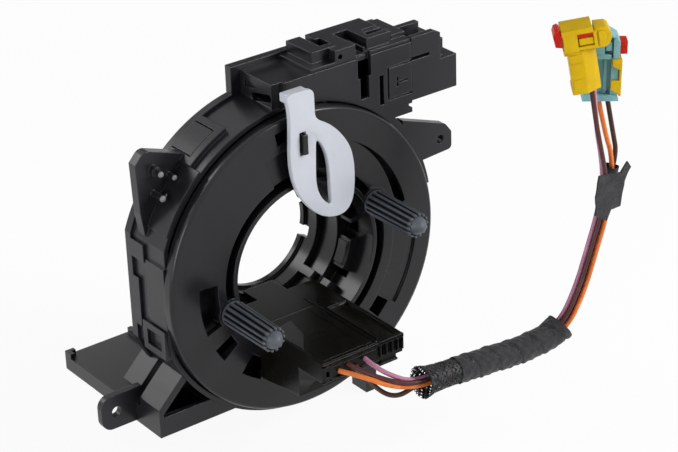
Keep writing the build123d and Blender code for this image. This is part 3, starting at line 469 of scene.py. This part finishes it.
def finished(part, name):
    """A mesh from a bmesh whose doubles are merged and faces turned outwards."""
    bmesh.ops.remove_doubles(part, verts=part.verts, dist=0.000002)
    bmesh.ops.recalc_face_normals(part, faces=part.faces)
    mesh = bpy.data.meshes.new(name)
    part.to_mesh(mesh)
    part.free()
    return mesh


def turned(part, profile, steps=48):
    """Turns a profile of (radius, depth) points about the Y axis."""
    points = [part.verts.new((radius, depth, 0)) for radius, depth in profile]
    runs = [part.edges.new(pair) for pair in zip(points, points[1:])]
    bmesh.ops.spin(
        part, geom=points + runs, cent=(0, 0, 0), axis=(0, 1, 0), dvec=(0, 0, 0),
        angle=2 * math.pi, steps=steps, use_merge=True, use_normal_flip=False, use_duplicate=False,
    )


rubber_shades = (0.062, 0.072, 0.086), (0.086, 0.098, 0.114)
rubber_dust = (0.135, 0.150, 0.170)
rubber, rubber_surface, rubber_place = new_finish("grey_rubber", Specular_IOR_Level=0.35)
rubber_cloud = rubber_place.noise(160.0, 3.0)
rubber_bloom = rubber_place.noise(900.0, 4.0, 0.65).above(0.52, 0.72)
rubber_tone = rubber_cloud.above(0.35, 0.65).mixed(*rubber_shades)
rubber_tone = (rubber_bloom * 0.45).mixed(rubber_tone, rubber_dust)
axis_distances = []
for peg_place in peg_places.values():
    inputs = {"Vector": rubber_place, "Location": -peg_place, "Scale": (1, 0, 1)}
    beside = rubber_place.node("ShaderNodeMapping", {}, inputs)
    length = beside.node("ShaderNodeVectorMath", {"operation": "LENGTH"}, {0: beside}, "Value")
    axis_distances.append(length)
depth = rubber_place.node("ShaderNodeSeparateXYZ", {}, {"Vector": rubber_place}, "Y")
# The grooves between the ribs are coloured darker as painted shade, up to near the tip.
unshaded_tip = (0.0 - depth).above(*shade_stops_at)
rib_top = axis_distances[0].smaller(axis_distances[1]).above(groove_floor, groove_top)
rubber_tone = rib_top.larger(unshaded_tip).mixed(groove_painted_shade, rubber_tone)
rubber_rough = 0.42 + rubber_cloud * 0.12 + rubber_bloom * 0.1
dress(rubber_surface, rubber_tone, rubber_rough, rubber_cloud + rubber_bloom * 0.3)

for side, peg_place in peg_places.items():
    peg = bmesh.new()
    turned(peg, peg_core)
    for rib in range(rib_count):
        rounded = bmesh.ops.create_uvsphere(peg, u_segments=10, v_segments=8, radius=rib_radius)["verts"]
        tip = [vert for vert in rounded if vert.co.z > 0]
        bmesh.ops.translate(peg, vec=(0, 0, rib_start - rib_end - 2 * rib_radius), verts=tip)
        bmesh.ops.rotate(peg, cent=(0, 0, 0), matrix=Matrix.Rotation(-rib_lean, 3, "Y"), verts=rounded)
        bmesh.ops.rotate(peg, cent=(0, 0, 0), matrix=Matrix.Rotation(math.pi / 2, 3, "X"), verts=rounded)
        bmesh.ops.translate(peg, vec=(rib_circle, rib_start - rib_radius, 0), verts=rounded)
        turn = Matrix.Rotation(2 * math.pi * rib / rib_count, 3, "Y")
        bmesh.ops.rotate(peg, cent=(0, 0, 0), matrix=turn, verts=rounded)
    bmesh.ops.translate(peg, vec=peg_place, verts=peg.verts)
    peg_mesh = finished(peg, f"ribbed_peg_{side}")
    show(peg_mesh, f"ribbed_peg_{side}", rubber, "rotor", [f"peg_sleeve_{side}"])

# ============================================================ stud tips
# The four studs of the left plate end in rounded tips, coloured pale grey as a painted highlight.
# Their places are in millimetres across, up and backwards, and each has its radius.
stud_tips = {
    (-46.0, 41.4, 10.3): 1.0,
    (-46.4, 33.6, 9.5): 1.1,
    (-43.2, 32.4, 12.0): 1.1,
    (-40.4, 38.2, 11.5): 0.9,
}
tip_share = 0.98
tip_flatness = 0.7
millimetre = 0.001
# Pale grey in place of the highlight on each tip: a painted highlight.
tip_highlight_grey = (0.24, 0.24, 0.26)

tips = bmesh.new()
for (x, z, y), radius in stud_tips.items():
    reach = tip_share * radius
    dome = bmesh.ops.create_uvsphere(tips, u_segments=20, v_segments=12, radius=reach)["verts"]
    bmesh.ops.scale(tips, vec=(1, tip_flatness, 1), verts=dome)
    bmesh.ops.translate(tips, vec=(x, y, z), verts=dome)
bmesh.ops.scale(tips, vec=(millimetre, millimetre, millimetre), verts=tips.verts)
tip_finish = moulded_plastic("tip_highlight_grey", tip_highlight_grey, 0.35)
show(finished(tips, "stud_tips"), "stud_tips", tip_finish, "stator")

# ============================================================ transport lock
# A leaf of white nylon with a pull loop. A short hook at its top rests in the notch of
# the block and its window goes over a lug of the disc. Its edges are well rounded.
lock_edge = 0.40
lock_edge_steps = 3
lock_depths = (2.0, 4.0)
lock_leaf = [
    (-7.8, 59.0), (-7.8, 61.2), (0.6, 61.2), (2.6, 60.0), (2.8, 57.6), (2.8, 56.0), (2.8, 52.2),
    (3.3, 50.6), (4.8, 49.2), (8.8, 46.8), (13.2, 42.1), (16.3, 36.8), (17.5, 30.9), (17.5, 24.8),
    (16.8, 19.0), (14.7, 15.5), (11.4, 14.2), (6.6, 15.0), (2.4, 17.3), (-2.2, 22.2), (-5.6, 28.2),
    (-7.2, 34.8), (-7.4, 40.8), (-7.0, 46.6), (-6.8, 52.4), (-7.1, 56.0), (-7.5, 58.0),
]
lock_loop = [
    (2.8, 43.4), (2.6, 37.8), (2.3, 31.9), (2.4, 28.2), (3.2, 24.6), (5.0, 21.5), (7.9, 18.7),
    (7.7, 24.2), (7.6, 29.0), (7.2, 34.6), (5.9, 39.2), (4.3, 42.0),
]
lock_window = [(-3.4, 47.3), (-1.1, 47.3), (-1.1, 39.6), (-3.4, 39.6)]
lock_hook = (-7.75, 0.6, 58.2, 61.15, -0.1, 3.2)
soft_below = math.radians(28.0)
flat_below = math.radians(1.0)
tight_angle = 20.0
facing_front = Matrix(((1, 0, 0), (0, 0, -1), (0, 1, 0))).to_4x4() @ Matrix.Scale(millimetre, 4)


def soften(part, edge, segments):
    """Rounds every edge of a mesh that turns sharply."""
    sharp = [e for e in part.edges if len(e.link_faces) == 2 and e.calc_face_angle() > soft_below]
    bmesh.ops.bevel(
        part, geom=sharp, offset=edge, segments=segments, profile=0.5, affect="EDGES",
        clamp_overlap=False, material=-1, loop_slide=True,
    )


def smoothed(outline, rounds=2):
    """A closed outline with its corners cut off again and again."""
    for _ in range(rounds):
        following = outline[1:] + outline[:1]
        outline = [
            (share * x + (1 - share) * next_x, share * y + (1 - share) * next_y)
            for (x, y), (next_x, next_y) in zip(outline, following)
            for share in (0.75, 0.25)
        ]
    return outline


def raise_face(part, face, travel):
    """Extrudes a flat face into a solid."""
    raised = bmesh.ops.extrude_face_region(part, geom=face, use_keep_orig=True)["geom"]
    moved = [item for item in raised if isinstance(item, bmesh.types.BMVert)]
    bmesh.ops.translate(part, vec=travel, verts=moved)


def prism(part, outline, back, front, holes=()):
    """Adds a solid with an outline and holes, from its back to its front."""
    rim = []
    for ring in (outline, *holes):
        corners = [part.verts.new((x, y, back)) for x, y in ring]
        rim += [part.edges.new(pair) for pair in zip(corners, corners[1:] + corners[:1])]
    if holes:
        filled = bmesh.ops.triangle_fill(part, edges=rim, use_beauty=True)["geom"]
        face = [item for item in filled if isinstance(item, bmesh.types.BMFace)]
    else:
        face = bmesh.ops.contextual_create(part, geom=corners)["faces"]
    raise_face(part, face, (0, 0, front - back))
    if holes:
        bmesh.ops.dissolve_limit(part, angle_limit=flat_below, verts=part.verts, edges=part.edges)


def box(left, right, bottom, top):
    """The outline of a plain block."""
    return [(left, bottom), (right, bottom), (right, top), (left, top)]


def plate(part, left, right, bottom, top, back, front):
    """Adds a plain block between six limits."""
    prism(part, box(left, right, bottom, top), back, front)


def upright(part, plan, bottom, top):
    """Adds a solid with a plan of (across, depth) points, between two heights."""
    corners = [part.verts.new((x, bottom, z)) for x, z in plan]
    face = bmesh.ops.contextual_create(part, geom=corners)["faces"]
    raise_face(part, face, (0, top - bottom, 0))


def moulded(part, placed, name, finish, body, replaced=(), edge=0.22, segments=2):
    """Rounds the edges of a piece made in millimetres, puts it in place and shows it."""
    bmesh.ops.recalc_face_normals(part, faces=part.faces)
    soften(part, edge, segments)
    bmesh.ops.transform(part, matrix=placed, verts=part.verts)
    return show(finished(part, name), name, finish, body, replaced, tight_angle)


nylon_shades = (0.525, 0.545, 0.605), (0.565, 0.585, 0.645)
nylon_scuffed = (0.50, 0.52, 0.58)
nylon, nylon_surface, nylon_place = new_finish("white_nylon", Specular_IOR_Level=0.5)
nylon_cloud = nylon_place.noise(70.0, 3.0)
nylon_scuff = nylon_place.stretched(1.0, 1.0, 0.3).noise(700.0, 4.0, 0.6).above(0.58, 0.74)
nylon_tone = nylon_cloud.above(0.3, 0.7).mixed(*nylon_shades)
nylon_tone = (nylon_scuff * 0.4).mixed(nylon_tone, nylon_scuffed)
nylon_rough = 0.36 + nylon_cloud * 0.1 + nylon_scuff * 0.15
dress(nylon_surface, nylon_tone, nylon_rough, nylon_cloud + nylon_scuff * 0.2)

lock = bmesh.new()
prism(lock, smoothed(lock_leaf), *lock_depths, holes=[smoothed(lock_loop), lock_window])
plate(lock, *lock_hook)
moulded(
    lock, facing_front, "nylon_lock", nylon, "lock", ["transport_lock"],
    edge=lock_edge, segments=lock_edge_steps,
)

# ============================================================ hub blocks
# Ribs and a framed pad inside the hub, moulded with it in the same polished black.
# They stand out from its wall and catch the light.
hub_pads = [
    {"turn": (-33.0, -7.0), "radii": (23.4, 27.2), "depth": (-13.6, -7.6)},
    {"turn": (-30.0, -10.0), "radii": (22.7, 24.0), "depth": (-12.8, -8.4)},
    {"turn": (-58.0, -46.0), "radii": (22.9, 27.2), "depth": (-13.6, -9.0)},
    {"turn": (8.0, 12.0), "radii": (23.4, 27.2), "depth": (-13.6, -6.6)},
    {"turn": (28.0, 60.0), "radii": (24.4, 27.2), "depth": (-13.6, -9.6)},
]
arc_steps = 8
pad_edge = 0.2

pads = bmesh.new()
for pad in hub_pads:
    first, last = pad["turn"]
    inner, outer = pad["radii"]
    sweep = [
        math.radians(first + (last - first) * step / arc_steps) for step in range(arc_steps + 1)
    ]
    arc = [(outer * math.cos(a), outer * math.sin(a)) for a in sweep]
    arc += [(inner * math.cos(a), inner * math.sin(a)) for a in reversed(sweep)]
    prism(pads, arc, *pad["depth"])
moulded(pads, facing_front, "hub_pads", rotor_finish, "rotor", edge=pad_edge)

# ============================================================ plug shelf
# The block that takes the harness plug is moulded in a black that is a little browner,
# with rails and a worn plate on its top, a frame and a comb of ribs on its front and a
# sloping chin below. Its lid snaps into the top and the plug into its front.
shelf_black = (0.0050, 0.0047, 0.0038)
worn_black = (0.016, 0.016, 0.015)
chin_profile = {
    (-0.021, -0.030): (-0.021, -0.0334),
    (-0.016, -0.036): (-0.012, -0.0342),
}
chin_reach = 0.0002
shelf_edge = 0.12
# Each rail in millimetres: its left, right, bottom, top, back and front.
rail_limits = [
    (1.5, 2.3, -16.4, -15.8, -5.0, 33.4),
    (-1.9, -1.4, -16.4, -16.0, 2.0, 33.0),
    (2.9, 11.6, -16.4, -15.8, 5.0, 5.7),
    (2.9, 3.4, -16.4, -15.8, 5.0, 32.4),
    (11.2, 11.7, -16.4, -15.8, 5.0, 32.4),
    (-19.9, 2.4, -17.6, -16.4, 33.3, 34.1),
    (-19.9, -18.5, -23.0, -16.6, 33.3, 34.1),
    (-17.3, -16.4, -23.0, -16.6, 33.3, 34.1),
    (-18.7, -17.2, -19.2, -17.4, 33.3, 34.05),
    (-18.7, -17.2, -23.0, -21.2, 33.3, 34.05),
    (-19.9, 2.4, -23.1, -22.3, 33.3, 34.1),
    (2.4, 12.1, -17.4, -16.1, 33.3, 34.3),
    (2.2, 9.4, -24.7, -23.9, 26.0, 34.4),
]
comb_teeth = (2.6, 5.0, 7.3, 9.5, 11.4)
tooth_width = 0.7
tooth_limits = (-21.8, -17.0, 33.3, 34.2)
worn_outline = [(-15.6, 5.7), (-10.5, 4.7), (-12.7, 14.3), (-18.6, 22.6), (-19.3, 10.8)]
worn_heights = (-16.4, -16.0)

shelf_finish = moulded_plastic("shelf_black", shelf_black, 0.24, shine=0.16)
refinish(shelf_finish, "shelf_lid", "harness_plug")
block = bmesh.new()
block.from_mesh(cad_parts["connector_shelf"].data)
for vert in block.verts:
    for (depth, height), moved in chin_profile.items():
        if abs(vert.co.y - depth) < chin_reach and abs(vert.co.z - height) < chin_reach:
            vert.co.y, vert.co.z = moved
block_mesh = finished(block, "shelf_block")
show(block_mesh, "shelf_block", shelf_finish, "rotor", ["connector_shelf"], tight_angle)

rails = bmesh.new()
for limits in rail_limits:
    plate(rails, *limits)
for tooth in comb_teeth:
    plate(rails, tooth, tooth + tooth_width, *tooth_limits)
moulded(
    rails, facing_front, "shelf_rails", shelf_finish, "rotor",
    edge=shelf_edge, segments=1,
)

worn = bmesh.new()
upright(worn, worn_outline, *worn_heights)
worn_finish = moulded_plastic("worn_black", worn_black, 0.36)
moulded(
    worn, facing_front, "worn_plate", worn_finish, "rotor",
    edge=shelf_edge, segments=1,
)

# ============================================================ braided sleeve
# Thin black plastic filaments, braided in bands of four in both directions round the
# wires. The cut end flares open, and its filaments spring apart.
carriers = 14
filaments = 4
filament_radius = 0.00014
filament_pitch = 0.00030
filament_relief = 0.00002
filament_shades = (0.006, 0.006, 0.007), (0.024, 0.024, 0.027)
braid_lay = 0.026
braid_radius = 0.0040
braid_mouth = 0.0013
braid_flare = 0.0030
braid_lift = 0.00014
braid_begin = 0.0016
braid_end = 0.0566
braid_step = 0.0005
cut_unevenness = (-0.0002, 0.0009)
spring_apart = (-0.25, 0.35)
spring_wide = 3.0
spring_out = 0.0003
random.seed(11)


def line_along(points):
    """Places along the smooth line through a route, as (distance, place, direction)."""
    curve = bpy.data.curves.new("line", "CURVE")
    curve.dimensions = "3D"
    curve.resolution_u = 40
    run_line(curve, points)
    holder = bpy.data.objects.new("line", curve)
    traced = bpy.data.meshes.new_from_object(holder)
    places = [vert.co.copy() for vert in traced.vertices]
    bpy.data.objects.remove(holder)
    bpy.data.curves.remove(curve)
    bpy.data.meshes.remove(traced)
    line = []
    distance = 0.0
    for before, after in zip(places, places[1:]):
        direction = (after - before).normalized()
        line.append((distance, before, direction))
        distance += (after - before).length
    line.append((distance, places[-1], direction))
    return line


def at(line, distance):
    """Place and direction at a distance along a line."""
    for first, second in zip(line, line[1:]):
        if second[0] >= distance:
            share = (distance - first[0]) / max(second[0] - first[0], 1e-9)
            return first[1].lerp(second[1], share), first[2].lerp(second[2], share).normalized()
    return line[-1][1] + line[-1][2] * (distance - line[-1][0]), line[-1][2]


def round_the_harness(distance, radius, angle):
    """Point beside the line of the harness at a radius and an angle round it."""
    place, direction = at(harness_line, distance)
    side = Vector((0, 1, 0))
    up = direction.cross(side).normalized()
    return place + radius * (math.cos(angle) * side + math.sin(angle) * up)


harness_line = line_along(bundle_line)
braid = bpy.data.curves.new("braid_filaments", "CURVE")
braid.dimensions = "3D"
braid.bevel_depth = filament_radius
braid.bevel_resolution = 1
braid.use_fill_caps = True
steps = int(braid_end / braid_step)
for direction in (1, -1):
    for carrier in range(carriers):
        for filament in range(filaments):
            start = braid_begin + random.uniform(*cut_unevenness)
            spread = random.uniform(*spring_apart)
            spline = braid.splines.new("POLY")
            spline.points.add(steps - 1)
            for step, knot in enumerate(spline.points):
                distance = start + (braid_end - start) * step / (steps - 1)
                open_end = math.exp(-max(distance - braid_begin, 0.0) / braid_flare)
                beside = (filament - (filaments - 1) / 2) * filament_pitch / braid_radius
                beside *= 1.0 + spread * open_end * spring_wide
                wind = direction * (2 * math.pi * distance / braid_lay)
                angle = wind + 2 * math.pi * carrier / carriers + beside
                crossing = math.cos(math.pi * (2 * carriers * distance / braid_lay + carrier))
                radius = braid_radius + braid_mouth * open_end + direction * braid_lift * crossing
                radius += spring_out * spread * open_end
                knot.co = (*round_the_harness(distance, radius, angle), 1)
braid_sleeve = put_in("braid_filaments", braid)

filament_finish, filament_surface, filament_place = new_finish(
    "black_filament", Specular_IOR_Level=0.35,
)
filament_cloud = filament_place.noise(420.0, 3.0)
filament_tone = filament_cloud.above(0.4, 0.65).mixed(*filament_shades)
dress(filament_surface, filament_tone, 0.25 + filament_cloud * 0.2, filament_cloud, filament_relief)
braid.materials.append(filament_finish)
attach(braid_sleeve, "rotor")
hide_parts("braided_sleeve")

# ============================================================ cloth tape
# Black cloth tape wound over the sleeve with a wide overlap, so that its edges make
# slanting steps and it wrinkles where the harness bends. A second piece of tape
# holds the rising wires and ends in a flag, stuck back on itself.
tape_begin = 0.0152
tape_end = 0.0605
tape_pitch = 0.0088
tape_radius = 0.00400
tape_step = 0.00055
tape_tail = 0.0006
tape_inner = 0.0034
tape_around = 56
tape_along = 150
lining_rows = 3.5
lap_rise = 0.10
lap_fall = 0.55
tail_from = 0.86
tail_share = 0.14
broad_wrinkle = 0.00016
fine_wrinkle = 0.00009
cloth_relief = 0.00022
cloth_shades = (0.009, 0.009, 0.0105), (0.025, 0.024, 0.027)
lint_grey = (0.075, 0.072, 0.078)

cloth, cloth_surface, cloth_place = new_finish(
    "cloth_tape", Specular_IOR_Level=0.3, Sheen_Weight=0.15, Sheen_Roughness=0.5,
)
threads = {"Vector": cloth_place, "Scale": 620.0, "Distortion": 2.0}
warp = cloth_place.node("ShaderNodeTexWave", {"bands_direction": "X"}, threads)
weft = cloth_place.node("ShaderNodeTexWave", {"bands_direction": "Z"}, threads)
crease = cloth_place.stretched(1.0, 1.0, 2.2).noise(260.0, 5.0, 0.6)
lint = cloth_place.noise(2400.0, 3.0, 0.7).above(0.60, 0.72)
cloth_tone = crease.above(0.35, 0.68).mixed(*cloth_shades)
cloth_tone = (lint * 0.35).mixed(cloth_tone, lint_grey)
cloth_rough = 0.62 + crease * 0.18 + lint * 0.1
cloth_height = (warp + weft) * 0.3 + crease * 2.2
dress(cloth_surface, cloth_tone, cloth_rough, cloth_height, cloth_relief)


def wound_tape(begin, end, radius_at, inner):
    """A closed sleeve of tape, with a radius for each distance and angle."""
    wall = bmesh.new()
    bmesh.ops.create_grid(wall, x_segments=tape_around, y_segments=tape_along, size=0.5)
    turn_back = 0.5 - lining_rows / tape_along
    for vert in wall.verts:
        angle = 2 * math.pi * (vert.co.x + 0.5)
        along = min((vert.co.y + 0.5) / (turn_back + 0.5), 1.0)
        distance = begin + (end - begin) * along
        radius = radius_at(distance, angle, along)
        if vert.co.y > turn_back:
            back = (vert.co.y - turn_back) / (0.5 - turn_back)
            radius = inner
            distance = end + (begin - end) * back
        vert.co = round_the_harness(distance, radius, angle)
    return wall


def sleeve_tape(distance, angle, along):
    """Steps where each turn lies over the last, wrinkles, and the tail at the end."""
    wind = (distance / tape_pitch - angle / (2 * math.pi)) % 1.0
    step = min(wind / lap_rise, 1.0) * (1.0 - lap_fall * wind)
    wrinkle = broad_wrinkle * math.sin(3 * angle + distance * 900) * math.sin(distance * 520 + 2 * angle)
    wrinkle += fine_wrinkle * math.sin(7 * angle - distance * 2100)
    tail = tape_tail * max(0.0, (along - tail_from) / tail_share)
    tail *= 0.6 + 0.4 * math.sin(2 * angle + 1.0)
    return tape_radius + tape_step * step + wrinkle + tail


tape = wound_tape(tape_begin, tape_end, sleeve_tape, tape_inner)
tape_mesh = finished(tape, "sleeve_tape")
show(tape_mesh, "sleeve_tape", cloth, "rotor", ["tape_wrap"], soft_angle=60.0)

flag_begin = 0.1016
flag_end = 0.1166
flag_layers = 0.0006
flag_depth = -0.0530
flag_outline = [
    (0.0776, 0.0250), (0.0871, 0.0234), (0.0900, 0.0264), (0.0917, 0.0239), (0.0887, 0.0201),
    (0.0873, 0.0113), (0.0829, 0.0115), (0.0815, 0.0078), (0.0762, 0.0113), (0.0769, 0.0143),
    (0.0764, 0.0177),
]
flag_cuts = 5
flag_wave = 0.00015
flag_ripple = 0.0001
roll_radius = 0.00225
roll_loosening = 0.0003
roll_pull = 0.0009
roll_inner = 0.0018
roll_wrinkles = (0.00012, 0.00008)


def rising_tape(distance, angle, along):
    """Tight at the bottom, looser above, and pulled out sideways into the flag."""
    pulled = roll_pull * along * (0.5 + 0.5 * math.cos(angle - 2.2))
    wrinkle = roll_wrinkles[0] * math.sin(4 * angle + distance * 1100)
    wrinkle += roll_wrinkles[1] * math.sin(distance * 2600 - 3 * angle)
    return roll_radius + roll_loosening * along + pulled * 0.5 + wrinkle


roll = wound_tape(flag_begin, flag_end, rising_tape, roll_inner)
roll_mesh = finished(roll, "wire_tape")
show(roll_mesh, "wire_tape", cloth, "rotor", ["tape_flag"], soft_angle=60.0)

flag = bmesh.new()
corners = [flag.verts.new((x, flag_depth, z)) for x, z in flag_outline]
bmesh.ops.contextual_create(flag, geom=corners)
bmesh.ops.triangulate(flag, faces=flag.faces)
bmesh.ops.subdivide_edges(flag, edges=flag.edges, cuts=flag_cuts, use_grid_fill=True)
for vert in flag.verts:
    wave = flag_wave * math.sin(vert.co.x * 700 + vert.co.z * 300)
    vert.co.y += wave + flag_ripple * math.sin(vert.co.z * 900)
bmesh.ops.recalc_face_normals(flag, faces=flag.faces)
bmesh.ops.solidify(flag, geom=flag.faces, thickness=flag_layers)
flag_mesh = finished(flag, "tape_flag_layers")
show(flag_mesh, "tape_flag_layers", cloth, "rotor", soft_angle=50.0)

# ============================================================ connectors
# Two moulded connectors, each of a housing, a red lock that slides in from the side
# and, on the teal one, a yellow side lock that grips its front with two claws.
connector_yaw = math.radians(-36.0)
yellow_foot = (0.0692, -0.0560, 0.0575)
yellow_lean = math.radians(9.0)
teal_foot = (0.0797, -0.0500, 0.0509)
teal_lean = math.radians(-1.5)
yellow_shades = (0.60, 0.375, 0.001), (0.68, 0.45, 0.001)
teal_shades = (0.18, 0.40, 0.44), (0.22, 0.46, 0.50)
red_shades = (0.56, 0.010, 0.003), (0.64, 0.018, 0.005)
# Each solid of a connector is an outline in millimetres with its back and its front.
yellow_neck = [(-4.5, 3.8), (0.1, 3.8), (4.3, 1.0), (4.3, -4.0), (-4.5, -4.0)]
yellow_neck_heights = (1.3, 15.6)
yellow_solids = [
    (box(-4.3, -0.1, 11.9, 14.6), 2.5, 4.25),  # panels of the neck
    (box(-4.1, -0.1, 2.2, 6.4), 2.5, 4.15),
    (box(-4.8, -3.6, 1.1, 3.8), -3.0, 3.2),  # foot and shoulder
    (box(-5.6, -4.2, 14.4, 16.2), -3.0, 3.4),
    (box(-5.3, 4.2, 15.4, 21.6), -4.5, 2.6),  # head with its frame and pad
    (box(-5.3, -0.9, 15.7, 21.8), -4.3, 4.5),
    (box(-1.2, 4.4, 15.9, 17.0), 1.0, 4.3),
    (box(-0.5, 3.9, 17.4, 19.6), 1.0, 4.1),
    (box(4.0, 5.0, 15.9, 21.4), 1.0, 4.4),
    (box(-5.5, 4.1, 21.3, 23.0), -4.7, 4.7),  # rim
    (  # ear at the right, with its pad
        [
            (4.6, 15.4), (7.4, 15.4), (8.8, 16.4), (9.5, 18.1),
            (9.5, 19.7), (8.9, 21.2), (8.0, 21.8), (4.6, 22.0),
        ],
        -3.6, 3.5,
    ),
    ([(5.6, 16.6), (7.0, 16.6), (7.9, 17.8), (7.9, 19.8), (7.0, 20.9), (5.6, 20.9)], 2.0, 4.1),
]
yellow_lock_solids = [
    ([(-7.8, 17.8), (-5.6, 17.2), (-5.6, 22.4), (-6.2, 23.2), (-7.4, 22.8), (-8.0, 21.4)], -3.3, 3.3),
    (box(-6.0, 4.2, 19.9, 21.5), -1.0, 3.9),
]
teal_solids = [
    ([(-5.0, 0.6), (5.2, 0.6), (5.2, 20.6), (2.0, 22.6), (-5.0, 22.6)], -4.5, 2.4),  # core
    ([(-6.0, 0.4), (5.4, 0.4), (5.4, 1.2), (4.2, 2.6), (-5.6, 2.6)], -4.6, 4.6),  # foot
    (box(-5.0, -3.4, 2.0, 15.0), 1.0, 3.9),  # ribs and their cross bar
    (box(0.4, 1.6, 2.2, 14.0), 1.0, 3.3),
    (box(2.6, 5.0, 2.0, 14.8), 1.0, 4.2),
    (box(-4.8, 2.6, 14.4, 16.0), 1.0, 4.3),
    ([(3.1, 14.6), (5.1, 14.6), (5.2, 20.5), (4.2, 21.4), (3.1, 21.4)], 1.0, 4.5),  # head
    (box(0.7, 2.6, 17.2, 20.2), 1.0, 4.2),
    ([(0.4, 21.6), (3.8, 21.6), (2.2, 22.6), (0.4, 22.6)], 1.0, 4.5),
    (box(-4.9, 0.4, 16.0, 22.5), 1.0, 4.4),
]
claw_solids = [
    ([(2.9, 12.4), (6.0, 10.6), (6.0, 14.6), (2.9, 14.6)], 3.8, 5.0),
    ([(2.6, 4.6), (6.0, 2.4), (6.0, 7.5), (2.7, 7.5)], 3.8, 5.0),
    (box(5.2, 6.0, 2.2, 14.6), -4.3, 4.9),
]
teal_lock_solids = [(box(1.0, 7.8, 15.3, 19.7), -2.3, 2.2)]


def connector_frame(foot, lean):
    """Turns millimetres across, up and towards the front into places."""
    level = math.cos(lean)
    across = Vector((math.cos(connector_yaw) * level, math.sin(connector_yaw) * level, math.sin(lean)))
    outward = Vector((math.sin(connector_yaw), -math.cos(connector_yaw), 0))
    upward = outward.cross(across)
    turn = Matrix((across, upward, outward)).transposed().to_4x4()
    return Matrix.Translation(foot) @ turn @ Matrix.Scale(millimetre, 4)


def build_up(part, solids):
    """Adds solids to a part, each from its outline, its back and its front."""
    for outline, back, front in solids:
        prism(part, outline, back, front)
    return part


def connector_plastic(name, dark, light, rough):
    """Coloured plastic with flow clouds and paler scuffs."""
    made, surface, place = new_finish(name, Specular_IOR_Level=0.18)
    cloud = place.noise(150.0, 3.0)
    scuff = place.noise(1300.0, 4.0, 0.65).above(0.58, 0.74)
    tone = cloud.above(0.3, 0.7).mixed(dark, light)
    tone = (scuff * 0.3).mixed(tone, tuple(0.6 * c + 0.2 for c in light))
    dress(surface, tone, rough + cloud * 0.1 + scuff * 0.12, cloud + scuff * 0.2)
    return made


yellow = connector_plastic("yellow_plastic", *yellow_shades, 0.38)
teal = connector_plastic("teal_plastic", *teal_shades, 0.36)
red = connector_plastic("red_plastic", *red_shades, 0.36)

yellow_place = connector_frame(yellow_foot, yellow_lean)
neck = bmesh.new()
upright(neck, yellow_neck, *yellow_neck_heights)
yellow_housing = moulded(
    build_up(neck, yellow_solids), yellow_place,
    "yellow_housing", yellow, "rotor", ["yellow_connector"],
)
moulded(
    build_up(bmesh.new(), yellow_lock_solids), yellow_place,
    "yellow_red_lock", red, "yellow_lock", ["yellow_lock_tab"],
)

teal_place = connector_frame(teal_foot, teal_lean)
teal_housing = moulded(
    build_up(bmesh.new(), teal_solids), teal_place,
    "teal_housing", teal, "rotor", ["teal_connector"],
)
moulded(
    build_up(bmesh.new(), claw_solids), teal_place,
    "teal_side_claws", yellow, "rotor", ["teal_side_lock"],
)
moulded(
    build_up(bmesh.new(), teal_lock_solids), teal_place,
    "teal_red_lock", red, "teal_lock", ["teal_lock_tab"],
)
